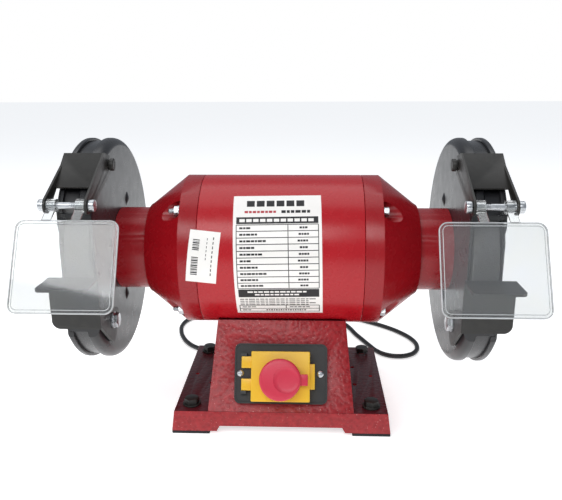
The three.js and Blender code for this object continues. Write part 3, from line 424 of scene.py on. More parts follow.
# Turned mild steel: fine rings across the shaft, greyer than the plating.
def turnedSteel():
    material, shader = newMaterial("turned_steel", "#8F9296", 0.36, Metallic=1.0)
    lines = grain(material, 1.2, 2, (1, 0.02, 0.02))
    tinted(material, shader, lines.outputs["Fac"], "#7E8185", "#A4A7AA")
    ranged(material, shader, lines.outputs["Fac"], 0.28, 0.46)
    raised(material, shader, lines.outputs["Fac"], 0.02, 0.3)
    return material


# Varnished copper winding: amber wires side by side round the slots.
def varnishedCopper():
    material, shader = newMaterial("varnished_copper_wire", "#A8602C", 0.35, Metallic=1.0)
    where = addNode(material, "ShaderNodeTexCoord")
    wires = addNode(material, "ShaderNodeTexWave", {"bands_direction": "DIAGONAL", "Scale": 1 / (9 * mm),
                                                   "Distortion": 1.5}, {"Vector": where.outputs["Object"]})
    tinted(material, shader, wires.outputs["Fac"], "#7A3F1A", "#C27A3C")
    raised(material, shader, wires.outputs["Fac"], 0.4, 0.6)
    return material


# Vitrified aluminium oxide: dull grey grit with open pores, drawn at about a 1 mm grain.
def vitrifiedGrit():
    material, shader = newMaterial("vitrified_grit", "#6E6E6C", 0.95)
    where = addNode(material, "ShaderNodeTexCoord")
    grits = addNode(material, "ShaderNodeTexVoronoi", {"Scale": 1 / (1.1 * mm)},
                    {"Vector": where.outputs["Object"]})
    tinted(material, shader, grits.outputs["Distance"], "#83827F", "#4C4C4B")
    raised(material, shader, grits.outputs["Distance"], 0.5, 0.9)
    return material


# Moulded clear polycarbonate: see-through with a faint milky haze; the paler, less clear copy used on the
# edges is a painted highlight.
def clearPolycarbonate(name, color, through, gloss):
    material, shader = newMaterial(name, color, gloss[0], IOR=1.58, Transmission_Weight=through)
    haze = grain(material, 26, 2)
    tinted(material, shader, haze.outputs["Fac"], color, "#E4E7EC")
    ranged(material, shader, haze.outputs["Fac"], *gloss)
    return material


# Injection-moulded plastic: even colour, a fine spark-eroded texture, soft gloss.
def mouldedPlastic(name, first, second, roughness, texture=0.7):
    material, shader = newMaterial(name, first, roughness, IOR=1.53)
    tinted(material, shader, grain(material, 14, 2).outputs["Fac"], first, second)
    fine = grain(material, texture, 2).outputs["Fac"]
    ranged(material, shader, fine, roughness - 0.06, roughness + 0.08)
    raised(material, shader, fine, 0.04, 0.35)
    return material


# Printed vinyl label: off-white film with a slight sheen, and the flat black ink on it.
def printedVinyl(name, first, second, roughness):
    material, shader = newMaterial(name, first, roughness, IOR=1.46)
    tinted(material, shader, grain(material, 18, 3).outputs["Fac"], first, second)
    ranged(material, shader, grain(material, 6, 2).outputs["Fac"], roughness - 0.05, roughness + 0.1)
    return material


bodyRed = sprayedRedEnamel("gloss_red_enamel", "#A60E1A", "#B21620")
# painted shade: the bells use the casing's red enamel drawn darker
shadedBellRed = sprayedRedEnamel("gloss_red_enamel_shaded_bells", "#8E0A14", "#9C0F19")
# the last colour is the painted shade laid on level tops
# the pale third colour is the painted highlight on the crater rims
hammeredRed = hammeredLacquer("hammered_red_lacquer", "#86121A", "#AA262C", "#E4ACA6", "#54161E")
darkEnamel = pressedDarkEnamel()
satinBlack = satinBlackPaint()
zinc = zincPlate()
steel = turnedSteel()
copper = varnishedCopper()
grit = vitrifiedGrit()
clearSheet = clearPolycarbonate("clear_polycarbonate", "#E6E7E2", 0.93, (0.02, 0.07))
# painted highlight: the screen's rim and bead are drawn paler and less clear than the sheet
edgeGlintSheet = clearPolycarbonate("clear_polycarbonate_edge_glint", "#C6C8C4", 0.4, (0.2, 0.3))
blackAbs = mouldedPlastic("black_abs_moulded", "#222222", "#2C2C2C", 0.5)
yellowAbs = mouldedPlastic("yellow_abs_moulded", "#E2B01C", "#EDBE2C", 0.36)
redAbs = mouldedPlastic("red_abs_moulded", "#C4253F", "#CE304A", 0.4)
greenAbs = mouldedPlastic("green_abs_moulded", "#2E8B45", "#37964E", 0.38)
greyCase = mouldedPlastic("grey_polypropylene_case", "#C4C4BF", "#CFCFCA", 0.45)
rubber = mouldedPlastic("black_rubber_moulded", "#17171A", "#212124", 0.72, 1.2)
pvc = mouldedPlastic("black_pvc_sheath", "#141416", "#1E1E21", 0.42, 1.5)
vinyl = printedVinyl("white_vinyl_label", "#EDEAE5", "#F5F2EE", 0.35)
ink = printedVinyl("black_label_ink", "#141416", "#1E1E20", 0.42)
accent = printedVinyl("red_label_ink", "#A92B35", "#B5363F", 0.42)
print("stage: finishes")


# ---- cord, with its gland and plug

cordSet = dict(diameter=6, resting=3.1, length=1.95, firstStep=(9.5, 0.7), lastStep=(12, 0.6), plugGap=0.2,
               coilCentre=(30, 190), coilMean=33, turns=5, turnPoints=16)
gland = dict(x=0, height=15, neck=4.7, flange=7.5, flangeWidth=5, length=33, tip=4.2, ribs=7)
plug = dict(height=7, half=10.5, relief=4, flare=1.6, reliefLength=16, body=26, pin=19, pinRadius=2,
            pinSpacing=6.5, pinRise=2)
cordRoute = [  # from the strain relief; where no height is given, the cord rests on the bench
    (-3.5, 132, 11), (-13, 143.5, 7.4), (-27.5, 149, 4.4), (-42.5, 147), (-56.5, 137.5), (-70, 124.5),
    (-83.5, 114), (-97, 109.8), (-109, 112.3), (-120, 119.2), (-130.5, 130.5), (-141, 149), (-149, 174),
    (-151, 197), (-145, 218), (-128, 236), (-101, 246.5), (-57, 251.5), (-10, 252.5), (36, 249.5),
    (78, 238), (112, 216), (139, 194), (156.5, 173), (167, 152.5), (170.3, 133), (166.3, 115),
    (155.5, 103), (140.8, 99), (126.5, 103.3), (116, 114.5), (108, 131.5), (100, 151), (92, 171),
    (86, 190), (78.5, 207), (67, 221),
]


# the coil is wound inwards on the floor and back outwards on top of itself
def coilPoint(turns):
    turn = min(int(turns), cordSet["turns"] - 1)
    part = turns - turn
    d = cordSet["diameter"]
    outer, low = cordSet["coilMean"] + d, cordSet["resting"]
    inner = outer - 2 * d
    climb = math.sqrt(d ** 2 - (d - d * part) ** 2)
    spread = math.sqrt(d ** 2 - (d - climb) ** 2)
    radius, height = [(outer - d * part, low), (inner + d - d * part, low), (inner, low + climb),
                      (inner + spread, low + d), (inner + d + spread, low + d)][turn]
    angle = math.pi / 2 + 2 * math.pi * turns
    x, y = cordSet["coilCentre"]
    return x + radius * math.cos(angle), y + radius * math.sin(angle), height


def makeCord():
    rear = corners("pedestal")[1].y
    start = rear + gland["length"] - axisY
    out, down = cordSet["firstStep"]
    places = [(gland["x"], start, gland["height"]), (gland["x"], start + out, gland["height"] - down)]
    places += [(*point, cordSet["resting"])[:3] for point in cordRoute]
    count = cordSet["turns"] * cordSet["turnPoints"]
    places += [coilPoint(i / cordSet["turnPoints"]) for i in range(count + 1)]
    lead = corners("mains_plug")[1].x
    x, y, z = places[-1]
    back, down = cordSet["lastStep"]
    places += [(x - back, y, z - down), (lead + cordSet["plugGap"], y, plug["height"])]
    curve = bpy.data.curves.new("cord_run", "CURVE")
    curve.dimensions = "3D"
    curve.resolution_u = 6
    curve.bevel_depth = cordSet["diameter"] / 2 * mm
    curve.bevel_resolution = 4
    curve.use_fill_caps = True
    spline = curve.splines.new("BEZIER")
    spline.bezier_points.add(len(places) - 1)
    for knot, (x, y, z) in zip(spline.bezier_points, places):
        knot.co = Vector((x, y + axisY, z)) * mm
        knot.handle_left_type = knot.handle_right_type = "AUTO"
    curve.materials.append(pvc)
    run = bpy.data.objects.new("cord_run", curve)
    bpy.context.scene.collection.objects.link(run)
    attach(run, "root")
    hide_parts("cord", "cord_coil")
    return run


def makeGland():
    rear = corners("pedestal")[1].y
    inside, flange = 7, gland["flangeWidth"]
    profile = [(-inside, 0), (-inside, gland["neck"]), (0.3, gland["neck"]), (0.3, gland["flange"] - 0.6),
               *arc(0.9, gland["flange"] - 0.6, 0.6, 180, 90, 3),
               *arc(flange - 1, gland["flange"] - 1, 1, 90, 0, 3)]
    start, taper = flange + 1.5, gland["flange"] - 1.5 - gland["tip"]
    pitch = (gland["length"] - start) / gland["ribs"]
    for i in range(gland["ribs"]):
        y = start + i * pitch
        radius = gland["flange"] - 1.5 - taper * i / gland["ribs"]
        profile += [(y - 0.6, radius - 1.1), (y, radius - 0.1), (y + pitch * 0.45, radius - 0.2),
                    (y + pitch * 0.6, radius - 1.0)]
    profile += [(gland["length"], gland["tip"] - 0.3), (gland["length"], 0)]
    draft = turned(profile, Matrix.Translation((gland["x"], rear, gland["height"])) @ alongY, 40)
    return finished("strain_relief", draft, rubber, "cord_gland")


def makePlug():
    low, high = corners("mains_plug")
    y, z = (low.y + high.y) / 2, plug["height"]
    start = high.x
    bodyEnd = start - plug["reliefLength"]
    face = bodyEnd - plug["body"]
    lying = Matrix.Translation((0, y, z)) @ alongX
    half, rise = plug["half"], plug["height"] - 0.1
    grip = prism(roundedBox(2 * half, 2 * rise, 4.5), face, bodyEnd, lying)
    grip = beveled(grip, 1.6, 3, 40)
    relief = plug["relief"]
    rings = [(bodyEnd - 2, 0), (bodyEnd - 2, relief + plug["flare"])]
    for i in range(5):
        x = bodyEnd + i * plug["reliefLength"] / 5
        radius = relief + plug["flare"] * (1 - i / 5)
        rings += [(x + 0.4, radius), (x + 1.9, radius), (x + 2.3, radius - 0.9), (x + 3, radius - 0.9)]
    rings += [(start, relief - 0.6), (start, 0)]
    grip = joined(grip, turned(rings, lying, 32))
    shell = finished("plug_body", grip, rubber, "mains_plug")
    drafts = []
    for place in (-1, 0, 1):
        middle = z + (0 if place else plug["pinRise"])
        at = Matrix.Translation((0, y + place * plug["pinSpacing"], middle)) @ alongX
        tip, radius = face - plug["pin"], plug["pinRadius"]
        profile = [(face + 1, 0), (face + 1, radius), (tip + 1, radius),
                   *arc(tip + 1, radius - 1, 1, 90, 180, 4), (tip, 0)]
        drafts.append(turned(profile, at, 24))
    pins = joined(drafts[0], *drafts[1:])
    pins = finished("plug_pins", pins, zinc, "mains_plug", replaces=False)
    return shell, pins


cord = makeCord()
strainRelief = makeGland()
plugBody, plugPins = makePlug()
print("stage: cord")


# ---- motor

motor = dict(seam=0.6, skirt=18, cone=37, coneRadius=48.5, shoulder=(2.4, 1.5), lip=(3.2, 3.9), collar=43,
             wall=5, boltInset=5.6, pocket=10, pocketFloor=5, pocketWall=2.5, shaftHole=12)
bolts = dict(radius=2.5, nut=10, height=5, tail=6, washer=5.6, washerHeight=0.9)
shellHigh = corners("motor_shell")[1]
bellLow, bellHigh = corners("end_bell_right")
motorRadius = shellHigh.z - axisZ
boltCircle = motorRadius - motor["boltInset"]
skirtEnd = bellLow.x + motor["skirt"] - 0.15
boltPlaces = [(axisY + boltCircle * math.cos(a), axisZ + boltCircle * math.sin(a))
              for a in (math.radians(45 + 90 * i) for i in range(4))]


def motorShell():
    half, inner, seam = shellHigh.x, motorRadius - 2.4, motor["seam"]
    profile = [(-half, inner), *arc(-half + seam, motorRadius - seam, seam, 180, 90, 4),
               *arc(half - seam, motorRadius - seam, seam, 90, 0, 4), (half, inner)]
    finished("motor_casing", turned(profile, onShaft, 160), bodyRed, "motor_shell")


def endBell():
    start, end, seam = bellLow.x, bellHigh.x, motor["seam"]
    coneEnd = skirtEnd + motor["cone"]
    coneRadius, wall, collar = motor["coneRadius"], motor["wall"], motor["collar"]
    thickRadius = boltCircle - motor["pocket"] - motor["pocketWall"]
    slope = (motorRadius - coneRadius) / motor["cone"]
    lipX, lipRadius = coneEnd + motor["lip"][0], coneRadius - motor["lip"][1]
    profile = [
        *arc(start + seam, motorRadius - seam, seam, 180, 90, 4), (skirtEnd, motorRadius),
        (coneEnd, coneRadius), (coneEnd + motor["shoulder"][0], coneRadius - motor["shoulder"][1]),
        (lipX, lipRadius), (lipX, collar), (end, collar), (end, motor["shaftHole"]),
        (end - wall, motor["shaftHole"]), (end - wall, collar - wall - 1), (coneEnd, collar - wall - 1),
        (coneEnd - 6, thickRadius - 12), (skirtEnd + (motorRadius - wall - thickRadius) / slope, thickRadius),
        (skirtEnd - motor["pocketFloor"], thickRadius), (skirtEnd - motor["pocketFloor"], motorRadius - wall),
        (start, motorRadius - wall),
    ]
    bell = turned(profile, onShaft, 160)
    pockets = [prism(circle(motor["pocket"], 40, y, z), skirtEnd, coneEnd + 6, alongX) for y, z in boltPlaces]
    bell = beveled(cut(bell, *pockets), 0.9, 3, 22)
    pair("bell", bell, shadedBellRed, "end_bell")


# a hexagon whose outer corners are turned away as on a real nut or bolt head
def chamferedHex(across, z0, z1, place):
    head = prism(circle(across / math.sqrt(3), 6), z0, z1, place)
    reach = across / math.sqrt(3) + 0.05
    flat = across / 2 - 0.1
    drop = (reach - flat) * 0.55
    turnedCorners = turned([(z0, 0), (z0, flat), (z0 + drop, reach), (z1 - drop, reach), (z1, flat), (z1, 0)],
                           place, 48)
    return combined(head, "INTERSECT", [turnedCorners])


def threaded(radius, z0, z1, pitch, place):
    rings = [(z0, 0), (z0, radius - 0.45)]
    count = int((z1 - z0 - 0.6) / pitch)
    for i in range(count):
        z = z0 + 0.5 + i * pitch
        rings += [(z, radius - 0.45), (z + pitch * 0.4, radius), (z + pitch * 0.6, radius)]
    rings += [(z1 - 0.3, radius - 0.45), (z1, radius - 0.8), (z1, 0)]
    return turned(rings, place, 28)


def throughBolts():
    seat = skirtEnd + 0.3
    for i, (y, z) in enumerate(boltPlaces):
        at = Matrix.Translation((0, y, z)) @ alongX
        head = chamferedHex(bolts["nut"] - 1, seat, seat + bolts["height"], at)
        shank = prism(circle(bolts["radius"] - 0.3, 24), -seat, seat + 1, at)
        outward = Matrix.Translation((0, y, z)) @ Matrix.Rotation(math.pi, 4, "Z") @ alongX
        washer = turned([(seat, 0), (seat, bolts["washer"]), (seat + bolts["washerHeight"], bolts["washer"]),
                         (seat + bolts["washerHeight"], 0)], outward, 32)
        nut = chamferedHex(bolts["nut"], seat + 0.5, seat + bolts["height"], outward)
        tail = threaded(bolts["radius"], seat, seat + bolts["height"] + bolts["tail"], 1.0, outward)
        draft = joined(shank, head, washer, nut, tail)
        finished(f"clamp_bolt_{i + 1}", draft, zinc, f"through_bolt_{i + 1}")


motorShell()
endBell()
throughBolts()
print("stage: motor")


# ---- label and sticker, bent round the motor

label = dict(x=-2.5, middle=7.75, width=85, height=132, tilt=1.2)
sticker = dict(x=-74.4, middle=8.5, width=29.5, height=51, tilt=-6)
film = 0.18  # thickness of the vinyl above the paint
inkFilm = 0.07


# a slab of film over the rectangle u0..u1, v0..v1 of a label, from its middle, u right and v up
def filmPatch(bm, tag, u0, u1, v0, v1, low, high):
    steps = max(1, round((v1 - v0) / 3))
    tilt, middle = math.radians(tag["tilt"]), math.radians(tag["middle"])

    def at(u, v, level):
        radius = motorRadius + level
        x = tag["x"] + u * math.cos(tilt) - v * math.sin(tilt)
        angle = middle + (u * math.sin(tilt) + v * math.cos(tilt)) / motorRadius
        return x, axisY - radius * math.cos(angle), axisZ + radius * math.sin(angle)

    columns = [u0 + (u1 - u0) * i / 6 for i in range(7)] if tag["tilt"] else [u0, u1]
    loops = []
    for i in range(steps + 1):
        v = v0 + (v1 - v0) * i / steps
        face = [bm.verts.new(at(u, v, high)) for u in columns]
        back = [bm.verts.new(at(u, v, low)) for u in reversed(columns)]
        loops.append(face + back)
    for first, second in zip(loops, loops[1:]):
        for i in range(len(first)):
            bm.faces.new((first[i - 1], first[i], second[i], second[i - 1]))
    bm.faces.new(loops[0])
    bm.faces.new(list(reversed(loops[-1])))


def printedPiece(name, tag, patches, low, high, material):
    bm = bmesh.new()
    for patch in patches:
        filmPatch(bm, tag, *patch, low, high)
    finished(name, draftOf(bm), material, "motor_shell", replaces=False)


# plain dashes that read as a printed line from a distance
def dashes(u0, u1, v, height, lengths, space=1.1):
    patches, u, i = [], u0, 0
    while u + lengths[i % len(lengths)] <= u1:
        step = lengths[i % len(lengths)]
        patches.append((u, u + step, v - height / 2, v + height / 2))
        u += step + space
        i += 1
    return patches


def ratingLabel():
    w, h = label["width"] / 2, label["height"] / 2
    printedPiece("label_film", label, [(-w, w, -h, h)], 0.03, film, vinyl)
    edge, line = 3.2, 0.75
    left, right = -w + edge, w - edge
    patches = []
    top = h - 25
    patches.append((left, right, top - 7, top))  # title bar
    rows, rowHeight, rowsTop = 10, 6.35, top - 8
    split = left + (right - left) * 0.63
    for i in range(rows + 1):
        v = rowsTop - i * rowHeight
        patches.append((left, right, v - line / 2, v + line / 2))
    bottom = rowsTop - rows * rowHeight
    for u in (left, split, right):
        patches.append((u - line / 2, u + line / 2, bottom, rowsTop))
    for i in range(rows):
        v = rowsTop - (i + 0.5) * rowHeight
        reach = left + 3 + (12 + (i * 7) % 17)
        patches += dashes(left + 3, reach, v, 1.9, (3.1, 2.2, 4.0), 0.6)
        middle = (split + right) / 2
        patches += dashes(middle - 3.5 - (i % 3), middle + 4.5 + (i % 3), v, 1.9, (2.4, 1.8), 0.5)
    patches.append((left, right, bottom - 10.5, bottom - 1))  # second bar
    for i in range(4):
        v = bottom - 13.2 - i * 2.7
        patches += dashes(left + 1, right - 1 - 9 * (i % 2), v, 1.05, (4.2, 2.6, 6.1, 3.3), 0.9)
    low = -h + 3
    for v in (low, low + 5.2, low + 10.4):
        patches.append((left, right, v - line / 2, v + line / 2))
    for u in (left, right):
        patches.append((u - line / 2, u + line / 2, low, low + 10.4))
    patches.append((split - 4, split - 4 + line, low + 5.2, low + 10.4))
    patches += dashes(left + 2.5, left + 18, low + 7.8, 1.2, (4.4, 3.0), 0.8)
    patches += dashes(split, right - 6, low + 7.8, 1.2, (3.6, 2.8), 0.8)
    patches += dashes(left + 2.5, left + 13, low + 2.6, 1.2, (4.4, 3.0), 0.8)
    patches += dashes(left + 26, right - 12, low + 2.6, 1.9, (1.7, 1.2), 0.9)
    patches += dashes(4, right - 4, h - 19.5, 3.0, (4.2, 2.9, 3.4, 5.0), 1.0)  # second line of the header
    printedPiece("label_print", label, patches, film, film + inkFilm, ink)
    heading = [(-w + 13 + i * 9.6, -w + 20.6 + i * 9.6, h - 13.5, h - 6.5) for i in range(6)]
    printedPiece("label_heading", label, heading, film, film + inkFilm, ink)
    second = dashes(-w + 11, 2, h - 19.5, 2.4, (3.4, 2.6), 0.9)
    printedPiece("label_accent", label, second, film, film + inkFilm, accent)
    pale = [(left + 3 + i * 6.6, left + 8.2 + i * 6.6, top - 5.1, top - 2) for i in range(11)]
    pale += dashes(left + 9, right - 8, bottom - 4, 1.7, (5.2, 3.3, 4.4), 1.0)
    pale += dashes(left + 16, right - 16, bottom - 7.4, 1.7, (4.6, 3.0), 1.0)
    printedPiece("label_reversed", label, pale, film + inkFilm, film + 2 * inkFilm, vinyl)


def barcodeSticker():
    w, h = sticker["width"] / 2, sticker["height"] / 2
    printedPiece("sticker_film", sticker, [(-w, w, -h, h)], 0.03, film, vinyl)
    patches = []
    for start, count in ((h - 9, 7), (h - 26, 8), (h - 38, 4)):
        v = start
        for i in range(count):
            thick = (0.9, 0.45, 1.3)[i % 3]
            patches.append((-w + 4, -w + 10.5, v - thick, v))
            v -= thick + (0.8, 0.6)[i % 2]
    for i in range(9):
        patches.append((w - 6.5, w - 5.6, h - 8 - i * 4.4, h - 5.4 - i * 4.4))
    for i in range(6):
        patches.append((w - 12.2, w - 11.6, h - 9 - i * 3.8, h - 6.8 - i * 3.8))
    printedPiece("sticker_print", sticker, patches, film, film + inkFilm, ink)


ratingLabel()
barcodeSticker()
print("stage: label")


# ---- guards and wheels

guard = dict(edge=8.5, sheet=2.3, step=3, rimFlat=2.8, hole=34, mouth=97, dimple=8, dimpleDepth=2.4,
             dimples=((24.5, 48), (0, -52)), coverRim=5.7, coverSheet=2, dome=34, screwCircle=96,
             screwAngles=(30, 75, -60))
panHigh = corners("guard_pan_right")[1]
coverLow, coverHigh = corners("guard_cover_right")
guardRadius = panHigh.z - axisZ
guardInner = bellHigh.x + 0.3
coverOuter = coverLow.x + guard["coverRim"]
domeTop = coverHigh.x


def mouthTool():
    half = math.sqrt(guardRadius ** 2 - guard["mouth"] ** 2) + 2
    return block(guardInner - 20, domeTop + 2, axisY - guardRadius - 2, axisY - guard["mouth"],
                 axisZ - half, axisZ + half)


def guardPan():
    edge, sheet = guard["edge"], guard["sheet"]
    drum = guardRadius - guard["step"]
    rim = guardInner + edge + guard["rimFlat"]
    end = panHigh.x
    profile = [
        (guardInner, guard["hole"]), *arc(guardInner + edge, guardRadius - edge, edge, 180, 90, 12),
        *arc(rim, guardRadius - 1.2, 1.2, 90, 20, 4), *arc(rim + 2.6, drum + 1.0, 1.0, 200, 270, 3),
        (end, drum), (end, drum - sheet), (guardInner + edge, drum - sheet),
        *arc(guardInner + edge, drum - edge, edge - sheet, 90, 180, 6), (guardInner + sheet, guard["hole"]),
    ]
    pan = turned(profile, onShaft, 192)
    tips = []
    for y, rise in guard["dimples"]:
        away = math.atan2(rise, y)
        at = Matrix.Translation((guardInner, axisY + y, axisZ + rise)) @ alongX
        deep, wide = guard["dimpleDepth"] - 0.05, guard["dimple"]
        slopes = [(-deep * (1 - (i / 6) ** 1.4), wide * i / 6) for i in range(7)]
        drawnOut = Matrix.Rotation(away, 4, "Z") @ Matrix.Diagonal((1.0, 0.7, 1, 1))
        tips.append(turned([*slopes, (1, wide), (1, 0)], at @ drawnOut, 40))
    pan = cut(joined(pan, *tips), mouthTool())
    pair("guard_shell", beveled(pan, 0.35, 2, 40), darkEnamel, "guard_pan", angle=14)


def guardCover():
    sheet, rimEnd = guard["coverSheet"], coverOuter - guard["coverRim"]
    inner = coverOuter - sheet
    lap = guardRadius - guard["step"] + 0.3
    dome = guard["dome"]
    profile = [
        (domeTop, 0), *arc(domeTop - 4, dome - 4, 4, 0, 60, 5), (coverOuter + 1.2, dome + 8),
        (coverOuter, dome + 11), (coverOuter, guardRadius - 14), (coverOuter - 0.8, guardRadius - 12.5),
        (coverOuter - 0.8, guardRadius - 10.5), (coverOuter, guardRadius - 9),
        *arc(coverOuter - 2, guardRadius - 2, 2, 0, 90, 6),
        *arc(rimEnd + 0.8, guardRadius - 0.8, 0.8, 90, 180, 3),
        (rimEnd, lap), (inner, lap), (inner, dome + 12), (domeTop - sheet, dome - 3), (domeTop - sheet, 0),
    ]
    cover = turned(profile, onShaft, 192)
    screws, away = [], guard["screwCircle"]
    for angle in guard["screwAngles"]:
        a = math.radians(angle)
        at = Matrix.Translation((coverOuter, axisY + away * math.cos(a), axisZ + away * math.sin(a))) @ alongX
        head = [(-1, 0), (-1, 4.4), (0.6, 4.4), *arc(0.6, 2.4, 2.0, 90, 20, 4), (2.4, 0)]
        screws.append(turned(head, at, 28))
    cover = cut(joined(cover, *screws), mouthTool())
    pair("guard_disc", beveled(cover, 0.35, 2, 40), darkEnamel, "guard_cover", angle=16)


def grindingWheel():
    low, high = corners("wheel_right")
    radius, corner = high.z - axisZ, 1.2
    profile = [(low.x, 8.3), *arc(low.x + corner, radius - corner, corner, 180, 90, 4),
               *arc(high.x - corner, radius - corner, corner, 90, 0, 4), (high.x, 8.3)]
    pair("grinding_wheel", turned(profile, onShaft, 192), grit, "wheel")


guardPan()
guardCover()
grindingWheel()
print("stage: guards and wheels")


# ---- spark deflector, its bolt, the shield rod and the eye shield

spark = dict(angle=52.6, lift=1.2, sheet=2, half=22, earRoom=1.2, overhang=1.3, rodOut=6.7, rodReach=47.2,
             boss=8, boltIn=15, boltReach=-24.3, lug=9, windowIn=3.6, travel=(-3, 8))
rod = dict(radius=3, knob=5.5, knobLength=5.6)
shield = dict(width=91, height=81.7, sheet=2, corner=8, inset=6, forward=18, drop=9.3, tilt=28.1, barrel=6,
              barrelLength=8, lip=1.1, bead=0.5, beadIn=3.0, beadWidth=0.7)
yz = alongX  # outlines drawn in Y and Z, thickness along X
innerEar = guardInner - spark["earRoom"]
outerEar = coverOuter + spark["overhang"]


def sparkPoint(distance, along):
    c, s = math.cos(math.radians(spark["angle"])), math.sin(math.radians(spark["angle"]))
    return axisY - distance * c - along * s, axisZ + distance * s - along * c


rodY, rodZ = sparkPoint(guardRadius + spark["rodOut"], spark["rodReach"])
boltY, boltZ = sparkPoint(guardRadius - spark["boltIn"], spark["boltReach"])


def sparkDeflector():
    inside = guardRadius + spark["lift"]
    sheet, half = spark["sheet"], spark["half"]
    middle = inside + sheet / 2
    strip = [sparkPoint(inside, -half), sparkPoint(inside, half),
             sparkPoint(inside + sheet, half), sparkPoint(inside + sheet, -half)]
    rodAt = (rodY, rodZ, spark["boss"])
    bottomEdge, near, topEdge = ((*sparkPoint(middle, along), sheet / 2) for along in (-half, -6, half))
    innerOutline = wrapped([bottomEdge, topEdge, rodAt, (boltY, boltZ, spark["lug"])])
    outerOutline = wrapped([near, topEdge, rodAt])
    windowTop = [(*sparkPoint(middle - spark["windowIn"], along), 0.8) for along in (4, half - 6)]
    window = wrapped([*windowTop, (rodY + 2 * spark["boss"], rodZ + 3, 0.8)])
    angle = math.radians(spark["angle"])
    slot = [(boltY + t * math.sin(angle), boltZ + t * math.cos(angle), 2.8) for t in spark["travel"]]
    body = joined(prism(strip, innerEar - sheet, outerEar + sheet, yz),
                  prism(innerOutline, innerEar - sheet, innerEar, yz),
                  prism(outerOutline, outerEar, outerEar + sheet, yz))
    body = cut(body, prism(wrapped(slot), innerEar - 2 * sheet, innerEar + 2, yz),
               prism(window, outerEar - 2, outerEar + 2 * sheet, yz),
               prism(circle(rod["radius"] + 0.3, 28, rodY, rodZ), innerEar - 5, outerEar + 5, yz))
    pair("spark_plate", beveled(body, 0.4, 2, 40), satinBlack, "spark_deflector")


def sparkBolt():
    seat = innerEar - spark["sheet"] - 0.3
    at = Matrix.Translation((0, boltY, boltZ)) @ alongX
    screw = turned([(seat - 5, 0), (seat - 5, 4.2), *arc(seat - 4, 5, 1, 180, 90, 3), (seat - 1.2, 6),
                    (seat - 1.2, 5), (seat, 5), (seat, 2.5), (guardInner - 0.3, 2.5), (guardInner - 0.3, 0)],
                   at, 40)
    slot = block(seat - 5.5, seat - 4, boltY - 0.7, boltY + 0.7, boltZ - 7, boltZ + 7)
    pair("spark_screw", beveled(cut(screw, slot), 0.2, 2, 40), satinBlack, "deflector_bolt")


def shieldRod():
    sheet, length, knob = spark["sheet"], rod["knobLength"], rod["knob"]
    inner, outer = innerEar - sheet - 0.3, outerEar + sheet + 0.3
    at = Matrix.Translation((0, rodY, rodZ)) @ alongX
    profile = [(inner - length, 0), (inner - length, 2), *arc(inner - length + 1, knob - 1, 1, 180, 90, 4),
               *arc(inner - 0.6, knob - 0.6, 0.6, 90, 0, 3), (inner, rod["radius"])]
    span = outer - inner
    for part in (0.3, 0.34, 0.38):  # turned rings on the rod between the barrels
        x = inner + span * part
        profile += [(x, rod["radius"]), (x + 0.5, rod["radius"] - 0.35),
                    (x + 1, rod["radius"] - 0.35), (x + 1.5, rod["radius"])]
    profile += [(outer, rod["radius"]), *arc(outer + 0.6, knob - 0.6, 0.6, 180, 90, 3),
                *arc(outer + length - 1, knob - 1, 1, 90, 0, 4), (outer + length, 2), (outer + length, 0)]
    pair("shield_pin", turned(profile, at, 40), zinc, "shield_rod")


def eyeShield():
    width, height, sheet = shield["width"], shield["height"], shield["sheet"]
    panelX = (innerEar + outerEar) / 2 - shield["inset"]
    tilt = math.radians(shield["tilt"])
    place = (Matrix.Translation((panelX, rodY - shield["forward"], rodZ - shield["drop"]))
             @ Matrix.Rotation(math.pi / 2 - tilt, 4, "X") @ Matrix.Translation((0, -height / 2, 0)))

    def ring(inset, breadth, low, high):
        outer, inner = (roundedBox(width - 2 * d, height - 2 * d, shield["corner"] - d)
                        for d in (inset, inset + breadth))
        return cut(prism(outer, low, high, place), prism(inner, low - 1, high + 1, place))

    lip = shield["lip"]
    across, tall = width - 2 * lip - 0.1, height - 2 * lip - 0.1  # a hair clear of the edge round it
    panel = prism(roundedBox(across, tall, shield["corner"] - lip), -sheet / 2, sheet / 2, place)
    bead = ring(shield["beadIn"], shield["beadWidth"], sheet / 2 + 0.02, sheet / 2 + shield["bead"])
    edges = joined(ring(0, lip, -sheet / 2, sheet / 2), bead)
    # the rim and bead carry the painted edge highlight
    pair("eye_screen_edge", beveled(edges, 0.2, 2, 40), edgeGlintSheet, "eye_shield", replaces=False)
    reach = math.hypot(shield["forward"], shield["drop"])
    hang = math.atan2(shield["drop"], shield["forward"])
    parts = []
    for x in (innerEar + 0.5, outerEar - 0.5 - shield["barrelLength"]):
        swing = Matrix.Translation((0, rodY, rodZ)) @ Matrix.Rotation(hang, 4, "X")
        parts.append(block(x, x + shield["barrelLength"], -reach - 1, -rod["radius"] - 1.5, -1, 1, swing))
        parts.append(prism(circle(shield["barrel"], 48, rodY, rodZ), x, x + shield["barrelLength"], yz))
    bore = prism(circle(rod["radius"] + 0.3, 32, rodY, rodZ), innerEar, outerEar, yz)
    pair("eye_screen", cut(joined(panel, *parts), bore), clearSheet, "eye_shield")


sparkDeflector()
sparkBolt()
shieldRod()
eyeShield()
print("stage: deflectors and shields")


# ---- tool rests

rest = dict(drop=1.5, gap=3, depth=36, sheet=2.5, overhang=11, leg=50.5, corner=8, tableCorner=5, boltY=-68,
            boltDrop=57, boltRadius=4, across=13, head=6, arm=9, hang=14, travel=(-1, 12))


